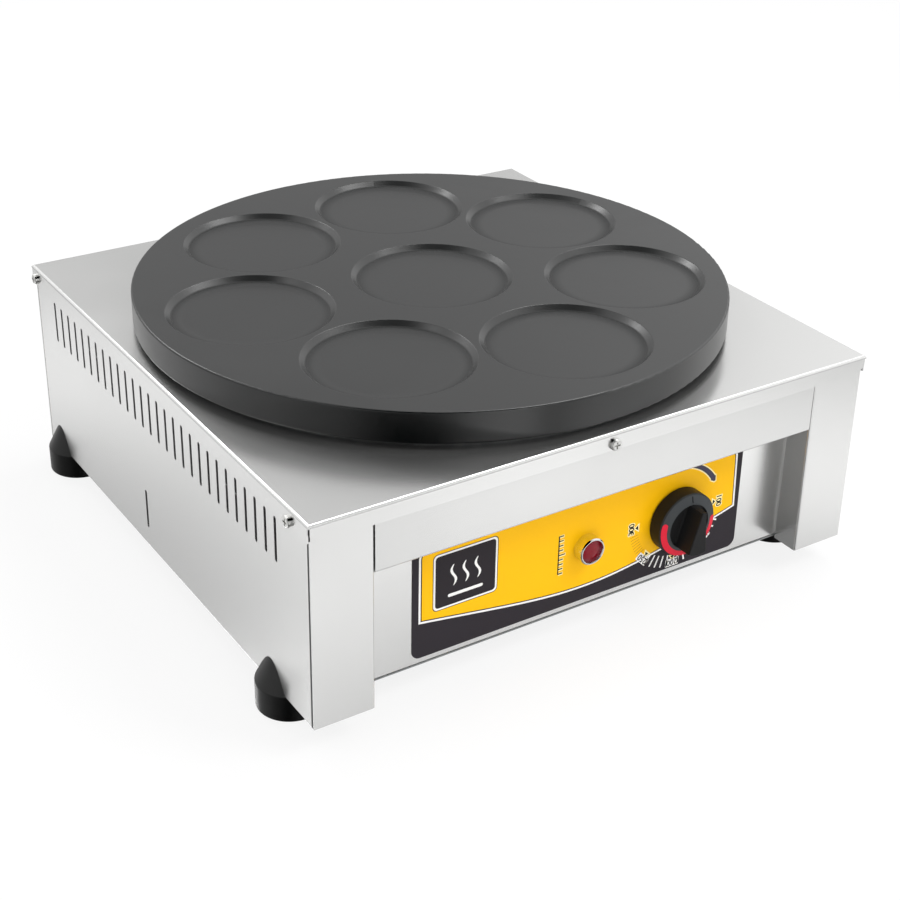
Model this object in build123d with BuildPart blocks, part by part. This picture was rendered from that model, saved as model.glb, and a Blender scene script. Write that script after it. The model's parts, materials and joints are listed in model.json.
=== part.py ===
# Electric crepe maker: a cast griddle plate with eight round pockets on a square stainless steel body.
# Millimetres. +Z is up, +X is to the right seen from the front, and the front faces -Y.
# The origin is on the ground, under the middle of the body.
import os
from math import asin, cos, floor, pi, radians, sin, tan

from build123d import *

os.makedirs("parts", exist_ok=True)

# ---------------------------------------------------------------- driving dimensions

# griddle plate
plate_diameter = 400.0
plate_thickness = 21.0
plate_gap = 4.0  # shadow gap between the cover and the plate
plate_edge_radius = 1.2
pocket_rim_diameter = 109.5
pocket_slope_width = 4.5  # sloping wall of a pocket, seen from above
pocket_depth = 3.9
pocket_foot_radius = 1.5
pocket_edge_radius = 0.6  # rounding of the rim
pocket_edge_margin = 14.45  # rim of a pocket to the rim of the plate
pocket_land = 3.0  # least metal left between two pockets of the ring
pocket_start_angle = 20.9

# body of folded sheet
ground_clearance = 18.0  # ground to the lower edge of the body
body_side_margin = 4.5  # body past the rim of the plate, on each side
body_front_margin = 5.0  # body past the rim of the plate, in front and behind
body_height = 137.0  # lower edge of the body to the underside of the cover's top
sheet = 1.0  # thickness of the stainless sheet
bend_inside = 0.5  # inside radius of a fold
fold_share = 0.9  # outside radius of a pressed flange, in sheet thicknesses

# top cover
cover_overhang = 2.0  # past the body, on each side
cover_flange = 11.6  # height of the turned-down edge
cover_bend_inside = 1.0  # inside radius of the cover's fold
cover_hole_inset = 22.0  # rim of the plate to the edge of the hole
cover_seam = 1.3  # open corner between two turned-down edges
cover_corner_cut = 4.5  # 45 degree cut on the lower corners of the front and rear edges
cover_screw_lift = 3.9  # screw axes above the lower edge of the cover
cover_screw_front = 22.0  # front side screw, from the front edge of the cover
cover_screw_rear = 9.0  # rear side screw, from the rear edge of the cover

# collar that carries the plate in the hole of the cover
collar_shoulder = 9.0  # past the hole of the cover
collar_wall = 1.8
collar_spigot = 6.0  # depth below the top of the cover
collar_clearance = 0.4  # spigot to the hole of the cover

# heating below the plate
element_diameter = 8.0
element_edge_margin = 20.0  # outer loop to the rim of the clamp plate
element_ring_gap = 70.0  # outer loop to inner loop
element_bend = 12.0
element_leg_reach = 27.0  # half the gap between the two ends of a loop
element_leg_below = 12.0  # below the heat shield
leg_clearance = 1.2  # leg to its hole in the heat shield
leg_slot_clearance = 3.2  # leg to the slot of the clamp plate and the insulation
bead_wall = 1.0  # ceramic bead past the leg
bead_height = 3.0
terminal_pin_diameter = 3.5
terminal_pin_length = 9.0
clamp_plate_thickness = 3.0
clamp_plate_clearance = 15.8  # inside the collar
insulation_thickness = 20.0
insulation_overhang = 5.0  # past the clamp plate
shield_sheet = 0.8
shield_bend_inside = 0.8
shield_clearance = 0.2  # insulation to the round foot of the shield's rim
shield_rim_drop = 1.0  # rim of the shield below the clamp plate

# studs that pull the plate down on the support rails
stud_diameter = 8.0
stud_depth = 11.0  # into the plate
stud_x = 60.0
stud_play = 0.5  # hole radius over stud radius
stud_tail = 3.0  # below the nut
stud_nut_width = 13.0
stud_nut_height = 6.5
support_rail_height = 23.0
support_rail_width = 28.0
support_rail_sheet = 1.5

# side panels
slot_pitch = 12.4
slot_width = 3.0
slot_length = 30.0
slot_drop = 16.3  # top of the cover to the top of a slot
slot_row_front = 38.5  # first slot, from the front fold of the panel
slot_row_rear = 33.0  # last slot, from the rear fold of the panel
single_slot_drop = 95.0
single_slot_length = 28.3
single_slot_shift = 25.7  # behind the middle of the body
panel_top_flange = 24.0
panel_bottom_flange = 26.0
panel_rear_flange = 20.0
corner_groove = 1.7  # open groove between a post and its side panel

# front posts and rail
post_width = 40.3
post_back_flange = 14.0
recess_depth = 21.0  # face of the posts to the control panel
rail_drop = 45.0  # top of the cover to the lower edge of the rail
rail_back_flange = 14.0
rail_seam = 0.5  # gap at each end of the rail
cover_play = 0.2  # front sheets to the underside of the cover

# control panel and its label
control_panel_margin = 11.8  # past the rear flanges of the posts
control_panel_flange = 14.0
label_width = 254.0
label_foot_gap = 4.3  # lower edge of the control panel to the label
label_head_gap = 8.7  # label to the lower edge of the rail
label_thickness = 0.3
label_radius = 6.0
knob_rise = 44.3  # knob above the lower edge of the body
knob_offset = 73.8  # knob to the right of the middle
lamp_rise = 46.0  # lamp above the lower edge of the body
lamp_offset = 0.5  # lamp to the right of the middle

# rear panel and base plate
rear_panel_flange = 24.0
base_play = 0.3  # base plate to the walls round it
vent_slot_width = 3.5
vent_slot_length = 46.0
vent_columns = 9
vent_rows = 4
vent_pitch_x = 24.0
vent_pitch_y = 62.0

# feet
foot_diameter = 43.0
foot_inset = 12.5  # foot axis to the outer face of the side panel
front_foot_inset = 53.0  # foot axis behind the face of the posts
rear_foot_inset = 21.0  # foot axis in front of the face of the rear panel
foot_bumper_height = 18.0  # bumper on the face of the side panel
foot_edge_radius = 1.2
foot_crease_radius = 2.5
foot_counterbore_diameter = 14.0
foot_counterbore_depth = 9.0
foot_screw_diameter = 5.0
foot_screw_head_diameter = 9.5
foot_screw_head_height = 3.0
foot_screw_above = 7.0  # above the base plate
foot_nut_width = 8.0
foot_nut_height = 4.0

# knob and its grip
knob_diameter = 45.0
knob_wall = 3.2
knob_gap = 1.0  # label to the back of the knob, and bush to hub
knob_drum = 10.3  # length of the drum
knob_face_rise = 2.0  # conical face, from the drum's edge to the recess
knob_face_width = 7.2  # from the rim of the knob to the recess
knob_edge = 0.8
knob_recess_depth = 2.2
knob_web = 2.5  # floor of the recess to the hollow back
knob_hub_diameter = 13.0
grip_rise = 11.9  # above the inner edge of the face
grip_width = 9.4  # crest of the grip at the axis
grip_taper = 11.0  # each side of the grip, seen from the front, in degrees
grip_draft = 0.5  # root of the grip past its crest, on each side
grip_end_lap = 0.2  # ends of the grip past the wall of the recess
grip_edge_radius = 0.8
grip_root_slope = 0.7  # foot of each side, on the floor of the recess
index_width = 0.8
index_margin = 1.5  # ends of the index line to the edges of the face
index_depth = 2.5
knob_rest_angle = 6.0  # index of the knob, clockwise from the top

# thermostat behind the panel
shaft_diameter = 6.0
shaft_flat = 1.5  # depth of the flat
shaft_clearance = 0.05  # running fit in the bush
shaft_into_grip = 5.0
shaft_end_gap = 0.5  # end of the shaft to the end of the bore
shaft_tail = 20.0  # inside the thermostat
bush_diameter = 10.0
bush_reach = 2.5  # in front of the label
thermostat_width = 42.0
thermostat_height = 36.0
thermostat_depth = 26.0
thermostat_corner = 3.0
thermostat_screw_gap = 1.3  # screw head to the wall of the knob
tab_spacing_x = 17.0
tab_spacing_z = 18.0
tab_width = 6.3  # blade terminals
tab_thickness = 0.8
tab_length = 8.0

# sensor of the thermostat
bulb_diameter = 6.0
bulb_length = 90.0
bulb_end_radius = 1.8
capillary_diameter = 2.0
capillary_lead = 8.0  # straight out of the bulb
capillary_bend = 7.2
capillary_play = 1.0  # hole radius over capillary radius
capillary_drop = 10.2  # below the support rails
capillary_back = 16.0  # behind the thermostat
capillary_fall = 10.8  # entry below the axis of the knob
saddle_inset = 22.5  # middle of the saddle to the rear end of the bulb
saddle_length = 21.6
saddle_width = 14.4

# pilot lamp
lamp_bezel_diameter = 18.6
lamp_bezel_wall = 1.5
lamp_bezel_reach = 8.0  # in front of the label
lamp_bezel_edge = 0.6
lamp_bezel_floor = 1.0
lamp_lens_recess = 1.2
lamp_lens_dome = 1.2
lamp_neck_diameter = 13.0
lamp_body_length = 24.0
lamp_tab_spacing = 5.0
lamp_nut_width = 17.0
lamp_nut_height = 4.0

# mains side
gland_x = 130.0
gland_rise = 34.0  # above the lower edge of the body
gland_thread = 16.0
gland_head_diameter = 24.0
gland_head_height = 4.6
gland_head_radius = 3.0
gland_flat_width = 21.0  # over the two spanner flats
gland_bore = 9.0
gland_inner_length = 14.0
gland_nut_width = 22.0
gland_nut_height = 5.0
earth_x = 84.0
earth_inset = 40.0  # in front of the rear panel
earth_diameter = 6.0
earth_length = 20.0
earth_nut_width = 10.0
earth_nut_height = 5.0
earth_lug_gap = 1.6  # room for a cable lug between the two nuts
terminal_x = 130.0
terminal_inset = 55.0  # in front of the rear panel
terminal_width = 52.0
terminal_depth = 24.0
terminal_base_height = 11.0
terminal_height = 20.0
terminal_crown_width = 42.0
terminal_crown_depth = 13.0
terminal_poles = 3
terminal_pitch = 14.0
terminal_hole = 5.0
terminal_hole_rise = 6.0

# small fasteners
screw_diameter = 4.0
screw_head_diameter = 7.6
screw_head_height = 2.6
screw_head_radius = 1.3
screw_length = 9.0
screw_recess = 1.2
cross_width = 1.0
cross_length = 4.6
hole_play = 0.25  # hole radius over screw radius
clip_nut_width = 7.0
clip_nut_height = 3.2
rear_screw_inset = 11.0  # from the side of the body
rear_screw_low = 16.0  # above the lower edge of the body
rear_screw_high = 28.0  # below the underside of the cover

# ---------------------------------------------------------------- levels and planes worked out from them

body_width = plate_diameter + 2 * body_side_margin
body_depth = plate_diameter + 2 * body_front_margin
body_base = ground_clearance
cover_inside = body_base + body_height
cover_top = cover_inside + sheet
cover_width = body_width + 2 * cover_overhang
cover_depth = body_depth + 2 * cover_overhang
bend = bend_inside + sheet
side_face = body_width / 2
front_face = -body_depth / 2
rear_face = body_depth / 2
front_top = cover_inside - cover_play
post_inner_face = side_face - post_width
panel_face = front_face + recess_depth
panel_front = front_face + sheet + corner_groove  # front fold of the side panels
panel_rear = rear_face - sheet  # the rear panel lies on the side panels
rail_base = cover_top - rail_drop
base_level = body_base + sheet  # underside of the base plate
base_top = base_level + sheet
control_base = base_top  # lower edge of the control panel
knob_height = body_base + knob_rise
lamp_height = body_base + lamp_rise
label_face = panel_face - label_thickness
label_base = control_base + label_foot_gap
label_height = rail_base - label_head_gap - label_base
screw_level = cover_top - cover_flange + cover_screw_lift
side_screw_ys = (-cover_depth / 2 + cover_screw_front, cover_depth / 2 - cover_screw_rear)
foot_x = side_face - foot_inset
front_foot_y = front_face + front_foot_inset
rear_foot_y = rear_face - rear_foot_inset
foot_spots = [(side * foot_x, y) for side in (-1, 1) for y in (front_foot_y, rear_foot_y)]
screw_hole_radius = screw_diameter / 2 + hole_play

plate_base = cover_top + plate_gap
plate_top = plate_base + plate_thickness
pocket_floor = plate_top - pocket_depth
pocket_rim_radius = pocket_rim_diameter / 2
pocket_ring_radius = plate_diameter / 2 - pocket_edge_margin - pocket_rim_radius
pocket_step = 2 * asin((pocket_rim_radius + pocket_land / 2) / pocket_ring_radius)
ring_pockets = floor(2 * pi / pocket_step)

cover_hole_radius = plate_diameter / 2 - cover_hole_inset
spigot_radius = cover_hole_radius - collar_clearance
collar_inner_radius = spigot_radius - collar_wall
clamp_plate_radius = collar_inner_radius - clamp_plate_clearance
outer_element_radius = clamp_plate_radius - element_edge_margin
inner_element_radius = outer_element_radius - element_ring_gap
between_elements = (outer_element_radius + inner_element_radius) / 2
element_level = plate_base - element_diameter / 2
clamp_top = plate_base - element_diameter
clamp_base = clamp_top - clamp_plate_thickness
insulation_radius = clamp_plate_radius + insulation_overhang
insulation_base = clamp_base - insulation_thickness
shield_base = insulation_base - shield_sheet
leg_bottom = shield_base - element_leg_below
rail_under = shield_base - support_rail_sheet
stud_y = between_elements
stud_spots = [(x, y) for x in (-stud_x, stud_x) for y in (-stud_y, stud_y)]
stud_hole_radius = stud_diameter / 2 + stud_play
bulb_x = between_elements
bulb_level = plate_base - bulb_diameter / 2
capillary_y = -bulb_length / 2 - capillary_lead
capillary_hole_radius = capillary_diameter / 2 + capillary_play
terminal_y = rear_face - terminal_inset
earth_y = rear_face - earth_inset

knob_radius = knob_diameter / 2
recess_radius = knob_radius - knob_face_width
hollow_radius = knob_radius - knob_wall
drum_front = knob_gap + knob_drum
face_front = drum_front + knob_face_rise
recess_floor = face_front - knob_recess_depth
hollow_front = recess_floor - knob_web
grip_front = face_front + grip_rise
hub_start = bush_reach + knob_gap
thermostat_screw_spacing = 2 * (hollow_radius - thermostat_screw_gap - screw_head_diameter / 2)

knob_plane = Plane(
    origin=(knob_offset, label_face, knob_height),
    x_dir=(cos(radians(knob_rest_angle)), 0, -sin(radians(knob_rest_angle))),
    z_dir=(0, -1, 0),
)
thermostat_plane = Plane(
    origin=(knob_offset, panel_face, knob_height), x_dir=(1, 0, 0), z_dir=(0, -1, 0)
)
lamp_plane = Plane(
    origin=(lamp_offset, label_face, lamp_height), x_dir=(1, 0, 0), z_dir=(0, -1, 0)
)
front_cover_plane = Plane(
    origin=(0, -cover_depth / 2, screw_level), x_dir=(1, 0, 0), z_dir=(0, -1, 0)
)
rear_cover_plane = Plane(
    origin=(0, cover_depth / 2, screw_level), x_dir=(-1, 0, 0), z_dir=(0, 1, 0)
)
side_cover_planes = [
    Plane(origin=(side * cover_width / 2, y, screw_level), x_dir=(0, side, 0), z_dir=(side, 0, 0))
    for side in (-1, 1)
    for y in side_screw_ys
]
cover_screw_planes = [front_cover_plane, rear_cover_plane] + side_cover_planes
rear_screw_xs = (rear_screw_inset - side_face, side_face - rear_screw_inset)
rear_screw_levels = (
    body_base + rear_screw_low, body_base + body_height / 2, cover_inside - rear_screw_high
)
rear_screw_planes = [
    Plane(origin=(x, rear_face, z), x_dir=(-1, 0, 0), z_dir=(0, 1, 0))
    for x in rear_screw_xs
    for z in rear_screw_levels
]
gland_plane = Plane(
    origin=(gland_x, rear_face, body_base + gland_rise), x_dir=(-1, 0, 0), z_dir=(0, 1, 0)
)

# ---------------------------------------------------------------- griddle plate and what carries it

with BuildPart() as griddle_plate:
    with BuildSketch(Plane.XY.offset(plate_base)):
        Circle(plate_diameter / 2)
    extrude(amount=plate_thickness)
    fillet(griddle_plate.edges().filter_by(GeomType.CIRCLE), plate_edge_radius)
    # one pocket in the middle and a ring of them round it
    with Locations((0, 0, plate_top)):
        Cone(
            pocket_rim_radius - pocket_slope_width, pocket_rim_radius, pocket_depth,
            align=(Align.CENTER, Align.CENTER, Align.MAX), mode=Mode.SUBTRACT,
        )
        with PolarLocations(pocket_ring_radius, ring_pockets, start_angle=pocket_start_angle):
            Cone(
                pocket_rim_radius - pocket_slope_width, pocket_rim_radius, pocket_depth,
                align=(Align.CENTER, Align.CENTER, Align.MAX), mode=Mode.SUBTRACT,
            )
    pocket_feet = griddle_plate.edges().filter_by_position(Axis.Z, pocket_floor, pocket_floor)
    fillet(pocket_feet, pocket_foot_radius)
    level_circles = griddle_plate.edges().filter_by(GeomType.CIRCLE).filter_by_position(
        Axis.Z, plate_top, plate_top
    )
    fillet(level_circles.group_by(SortBy.RADIUS)[0], pocket_edge_radius)
    # blind holes for the studs
    with BuildSketch(Plane.XY.offset(plate_base)):
        with Locations(*stud_spots):
            Circle(stud_diameter / 2)
    extrude(amount=stud_depth, mode=Mode.SUBTRACT)
griddle_plate.part.label = "griddle_plate"
export_step(griddle_plate.part, "parts/griddle_plate.step")

# L-shaped ring: its spigot drops into the hole of the cover, its shoulder lies on the cover
with BuildPart() as plate_collar:
    with BuildSketch(Plane.XZ):
        with BuildLine():
            Polyline(
                (collar_inner_radius, plate_base),
                (cover_hole_radius + collar_shoulder, plate_base),
                (cover_hole_radius + collar_shoulder, cover_top),
                (spigot_radius, cover_top),
                (spigot_radius, cover_top - collar_spigot),
                (collar_inner_radius, cover_top - collar_spigot),
                close=True,
            )
        make_face()
    revolve(axis=Axis.Z)
plate_collar.part.label = "plate_collar"
export_step(plate_collar.part, "parts/plate_collar.step")

with BuildPart() as plate_studs:
    with BuildSketch(Plane.XY.offset(rail_under - stud_nut_height - stud_tail)):
        with Locations(*stud_spots):
            Circle(stud_diameter / 2)
    extrude(amount=plate_base + stud_depth - rail_under + stud_nut_height + stud_tail)
plate_studs.part.label = "plate_studs"
export_step(plate_studs.part, "parts/plate_studs.step")

with BuildPart() as stud_nuts:
    with BuildSketch(Plane.XY.offset(rail_under)):
        with Locations(*stud_spots):
            RegularPolygon(stud_nut_width / 2, 6, major_radius=False)
            Circle(stud_diameter / 2, mode=Mode.SUBTRACT)
    extrude(amount=-stud_nut_height)
stud_nuts.part.label = "stud_nuts"
export_step(stud_nuts.part, "parts/stud_nuts.step")

# ---------------------------------------------------------------- heating


def loop_leg(loop_radius):
    """Ring end of a heating loop on its right side, its tangent there, and the leg's axis."""
    end_x = element_leg_reach
    end_y = -((loop_radius**2 - end_x**2) ** 0.5)
    tangent = (-end_y / loop_radius, end_x / loop_radius)
    leg = (end_x - tangent[0] * element_bend, end_y - tangent[1] * element_bend)
    return (end_x, end_y), tangent, leg


def loop_path(loop_radius):
    """Centre line of a heating loop: a leg, a bend, the open ring, a bend and a leg."""
    (end_x, end_y), tangent, (leg_x, leg_y) = loop_leg(loop_radius)
    along = element_bend * sin(radians(45))
    middle_x, middle_y = end_x - tangent[0] * along, end_y - tangent[1] * along
    middle_z = element_level - element_bend + element_bend * cos(radians(45))
    low = element_level - element_bend
    with BuildLine() as path:
        Line((leg_x, leg_y, leg_bottom), (leg_x, leg_y, low))
        ThreePointArc(
            (leg_x, leg_y, low), (middle_x, middle_y, middle_z), (end_x, end_y, element_level)
        )
        ThreePointArc(
            (end_x, end_y, element_level), (0, loop_radius, element_level), (-end_x, end_y, element_level)
        )
        ThreePointArc(
            (-end_x, end_y, element_level), (-middle_x, middle_y, middle_z), (-leg_x, leg_y, low)
        )
        Line((-leg_x, leg_y, low), (-leg_x, leg_y, leg_bottom))
    return path.wire()


outer_path = loop_path(outer_element_radius)
with BuildPart() as outer_element:
    with BuildSketch(Plane(outer_path @ 0, z_dir=outer_path % 0)):
        Circle(element_diameter / 2)
    sweep(path=outer_path)
outer_element.part.label = "outer_element"
export_step(outer_element.part, "parts/outer_element.step")

inner_path = loop_path(inner_element_radius)
with BuildPart() as inner_element:
    with BuildSketch(Plane(inner_path @ 0, z_dir=inner_path % 0)):
        Circle(element_diameter / 2)
    sweep(path=inner_path)
inner_element.part.label = "inner_element"
export_step(inner_element.part, "parts/inner_element.step")

leg_spots = []
for loop_radius in (outer_element_radius, inner_element_radius):
    leg_x, leg_y = loop_leg(loop_radius)[2]
    leg_spots += [(leg_x, leg_y), (-leg_x, leg_y)]

# ceramic beads with terminal pins at the ends of the legs
with BuildPart() as element_terminals:
    with BuildSketch(Plane.XY.offset(leg_bottom)):
        with Locations(*leg_spots):
            Circle(element_diameter / 2 + bead_wall)
    extrude(amount=-bead_height)
    with BuildSketch(Plane.XY.offset(leg_bottom - bead_height)):
        with Locations(*leg_spots):
            Circle(terminal_pin_diameter / 2)
    extrude(amount=-terminal_pin_length)
element_terminals.part.label = "element_terminals"
export_step(element_terminals.part, "parts/element_terminals.step")


def cut_passages():
    """Slots for the legs and holes for the studs and the capillary, cut in the sketch at hand."""
    with Locations((0, -outer_element_radius), (0, -inner_element_radius)):
        Rectangle(
            2 * element_leg_reach + element_diameter, element_diameter + 2 * leg_slot_clearance,
            mode=Mode.SUBTRACT,
        )
    with Locations(*stud_spots):
        Circle(stud_hole_radius, mode=Mode.SUBTRACT)
    with Locations((bulb_x, capillary_y)):
        Circle(capillary_hole_radius, mode=Mode.SUBTRACT)


with BuildPart() as clamp_plate:
    with BuildSketch(Plane.XY.offset(clamp_base)):
        Circle(clamp_plate_radius)
        cut_passages()
    extrude(amount=clamp_plate_thickness)
clamp_plate.part.label = "clamp_plate"
export_step(clamp_plate.part, "parts/clamp_plate.step")

with BuildPart() as insulation_disc:
    with BuildSketch(Plane.XY.offset(insulation_base)):
        Circle(insulation_radius)
        cut_passages()
    extrude(amount=insulation_thickness)
insulation_disc.part.label = "insulation_disc"
export_step(insulation_disc.part, "parts/insulation_disc.step")

# shallow pan that holds the insulation
with BuildPart() as heat_shield:
    with BuildSketch(Plane.XY.offset(shield_base)):
        Circle(insulation_radius + shield_clearance + shield_bend_inside + shield_sheet)
    extrude(amount=clamp_base - shield_rim_drop - shield_base)
    fillet(heat_shield.edges().group_by(Axis.Z)[0], shield_bend_inside + shield_sheet)
    offset(amount=-shield_sheet, openings=heat_shield.faces().sort_by(Axis.Z)[-1])
    with BuildSketch(Plane.XY.offset(shield_base)):
        with Locations(*leg_spots):
            Circle(element_diameter / 2 + leg_clearance)
        with Locations(*stud_spots):
            Circle(stud_hole_radius)
        with Locations((bulb_x, capillary_y)):
            Circle(capillary_hole_radius)
    extrude(amount=shield_sheet, mode=Mode.SUBTRACT)
heat_shield.part.label = "heat_shield"
export_step(heat_shield.part, "parts/heat_shield.step")

# two channels from side panel to side panel, open downwards, under the heat shield
with BuildPart() as front_support_rail:
    with BuildSketch(Plane.YZ):
        with Locations((-stud_y, shield_base)):
            Rectangle(support_rail_width, support_rail_height, align=(Align.CENTER, Align.MAX))
        with Locations((-stud_y, rail_under)):
            Rectangle(
                support_rail_width - 2 * support_rail_sheet, support_rail_height,
                align=(Align.CENTER, Align.MAX), mode=Mode.SUBTRACT,
            )
    extrude(amount=side_face - sheet, both=True)
    with BuildSketch(Plane.XY.offset(shield_base)):
        with Locations((-stud_x, -stud_y), (stud_x, -stud_y)):
            Circle(stud_hole_radius)
    extrude(amount=-support_rail_sheet, mode=Mode.SUBTRACT)
front_support_rail.part.label = "front_support_rail"
export_step(front_support_rail.part, "parts/front_support_rail.step")

with BuildPart() as rear_support_rail:
    mirror(front_support_rail.part, about=Plane.XZ)
rear_support_rail.part.label = "rear_support_rail"
export_step(rear_support_rail.part, "parts/rear_support_rail.step")

# ---------------------------------------------------------------- top cover

cover_bend = cover_bend_inside + sheet
cover_edge = cover_top - cover_flange
with BuildPart() as top_cover:
    with BuildSketch(Plane.XY.offset(cover_edge)):
        Rectangle(cover_width, cover_depth)
    extrude(amount=cover_flange)
    fillet(top_cover.faces().sort_by(Axis.Z)[-1].edges(), cover_bend)
    offset(amount=-sheet, openings=top_cover.faces().sort_by(Axis.Z)[0])
    with BuildSketch(Plane.XY.offset(cover_top)):
        Circle(cover_hole_radius)
    extrude(amount=-sheet, mode=Mode.SUBTRACT)
    # open seam at each corner
    with BuildSketch(Plane.XY.offset(cover_edge)):
        with GridLocations(cover_width, cover_depth, 2, 2):
            Rectangle(2 * cover_seam, 2 * cover_seam)
    extrude(amount=cover_flange - cover_bend, mode=Mode.SUBTRACT)
    # lower corners of the front and rear edges cut off at 45 degrees
    for face_sign in (-1, 1):
        with BuildSketch(Plane.XZ.offset(face_sign * cover_depth / 2)):
            for side in (-1, 1):
                edge_x = side * (cover_width / 2 - cover_seam)
                with BuildLine():
                    Polyline(
                        (edge_x, cover_edge),
                        (edge_x - side * cover_corner_cut, cover_edge),
                        (edge_x, cover_edge + cover_corner_cut),
                        close=True,
                    )
                make_face()
        extrude(amount=-face_sign * sheet, mode=Mode.SUBTRACT)
    with Locations(*cover_screw_planes):
        Cylinder(screw_hole_radius, 2 * cover_overhang, mode=Mode.SUBTRACT)
top_cover.part.label = "top_cover"
export_step(top_cover.part, "parts/top_cover.step")

# ---------------------------------------------------------------- side panels

panel_length = panel_rear - panel_front
panel_middle = (panel_rear + panel_front) / 2
slot_row_length = panel_length - slot_row_front - slot_row_rear
slot_count = round(slot_row_length / slot_pitch) + 1
slot_row_middle = (panel_front + slot_row_front + panel_rear - slot_row_rear) / 2
reach_through = 2 * (cover_overhang + sheet)  # length of a screw hole through cover and panel
left_cover_planes = [plane for plane in side_cover_planes if plane.origin.X < 0]
left_rear_planes = [plane for plane in rear_screw_planes if plane.origin.X < 0]

with BuildPart() as left_side_panel:
    with BuildSketch(Plane.XY.offset(body_base)):
        with BuildLine():
            FilletPolyline(
                (-post_inner_face - sheet, panel_front),
                (-side_face, panel_front),
                (-side_face, panel_rear),
                (-side_face + panel_rear_flange, panel_rear),
                radius=bend,
            )
            offset(amount=sheet, side=Side.RIGHT)
        make_face()
    extrude(amount=body_height)
    # flange under the cover, and the wider one that carries the base plate and the feet
    for level, flange, upward in (
        (cover_inside, panel_top_flange, -1), (body_base, panel_bottom_flange, 1)
    ):
        with BuildSketch(Plane.XY.offset(level)):
            with Locations((-side_face + sheet, panel_middle)):
                Rectangle(
                    flange - sheet, panel_length - 2 * sheet, align=(Align.MIN, Align.CENTER)
                )
        extrude(amount=upward * sheet)
    outer_edges = left_side_panel.edges().filter_by(Axis.Y).group_by(Axis.X)[0]
    fillet(outer_edges, fold_share * sheet)
    # row of ventilation slots, and the single slot below it
    with BuildSketch(Plane.YZ.offset(-side_face)):
        with Locations((slot_row_middle, cover_top - slot_drop - slot_length / 2)):
            with GridLocations(slot_pitch, slot_pitch, slot_count, 1):
                SlotOverall(slot_length, slot_width, rotation=90)
        with Locations((single_slot_shift, cover_top - single_slot_drop - single_slot_length / 2)):
            SlotOverall(single_slot_length, slot_width, rotation=90)
    extrude(amount=sheet, mode=Mode.SUBTRACT)
    with Locations(*left_cover_planes, *left_rear_planes):
        Cylinder(screw_hole_radius, 2 * reach_through, mode=Mode.SUBTRACT)
    with Locations((-foot_x, front_foot_y, body_base), (-foot_x, rear_foot_y, body_base)):
        Cylinder(foot_screw_diameter / 2 + hole_play, 2 * sheet, mode=Mode.SUBTRACT)
left_side_panel.part.label = "left_side_panel"
export_step(left_side_panel.part, "parts/left_side_panel.step")

with BuildPart() as right_side_panel:
    mirror(left_side_panel.part, about=Plane.YZ)
right_side_panel.part.label = "right_side_panel"
export_step(right_side_panel.part, "parts/right_side_panel.step")

# ---------------------------------------------------------------- front posts, rail and control panel

# Z-shaped channel: face, inner return and a flange against the control panel
with BuildPart() as left_post:
    with BuildSketch(Plane.XY.offset(body_base)):
        with BuildLine():
            FilletPolyline(
                (-side_face, front_face),
                (-post_inner_face, front_face),
                (-post_inner_face, panel_face),
                (-post_inner_face - post_back_flange, panel_face),
                radius=bend,
            )
            offset(amount=sheet, side=Side.LEFT)
        make_face()
    extrude(amount=front_top - body_base)
left_post.part.label = "left_post"
export_step(left_post.part, "parts/left_post.step")

with BuildPart() as right_post:
    mirror(left_post.part, about=Plane.YZ)
right_post.part.label = "right_post"
export_step(right_post.part, "parts/right_post.step")

# channel between the posts: front, underside and a flange against the control panel
with BuildPart() as front_rail:
    with BuildSketch(Plane.YZ):
        with BuildLine():
            FilletPolyline(
                (front_face, front_top),
                (front_face, rail_base),
                (panel_face, rail_base),
                (panel_face, rail_base + rail_back_flange),
                radius=bend,
            )
            offset(amount=sheet, side=Side.LEFT)
        make_face()
    extrude(amount=post_inner_face - rail_seam, both=True)
    with Locations(front_cover_plane):
        Cylinder(screw_hole_radius, 2 * reach_through, mode=Mode.SUBTRACT)
front_rail.part.label = "front_rail"
export_step(front_rail.part, "parts/front_rail.step")


def cut_control_holes(depth):
    """Holes for the bush, the thermostat's screws and the neck of the lamp."""
    with Locations(thermostat_plane):
        Cylinder(bush_diameter / 2 + hole_play, depth, mode=Mode.SUBTRACT)
        with GridLocations(thermostat_screw_spacing, 1, 2, 1):
            Cylinder(screw_hole_radius, depth, mode=Mode.SUBTRACT)
    with Locations(lamp_plane):
        Cylinder(lamp_neck_diameter / 2 + hole_play, depth, mode=Mode.SUBTRACT)


with BuildPart() as control_panel:
    with BuildSketch(Plane.YZ):
        with BuildLine():
            FilletPolyline(
                (panel_face, front_top - sheet),
                (panel_face, control_base),
                (panel_face + control_panel_flange, control_base),
                radius=bend,
            )
            offset(amount=sheet, side=Side.LEFT)
        make_face()
    extrude(amount=post_inner_face + post_back_flange + control_panel_margin, both=True)
    cut_control_holes(4 * sheet)
control_panel.part.label = "control_panel"
export_step(control_panel.part, "parts/control_panel.step")

with BuildPart() as control_label:
    with BuildSketch(Plane.XZ.offset(-panel_face)):
        with Locations((0, label_base + label_height / 2)):
            RectangleRounded(label_width, label_height, label_radius)
    extrude(amount=label_thickness)
    cut_control_holes(4 * label_thickness)
control_label.part.label = "control_label"
export_step(control_label.part, "parts/control_label.step")

# ---------------------------------------------------------------- rear panel and base plate

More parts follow.
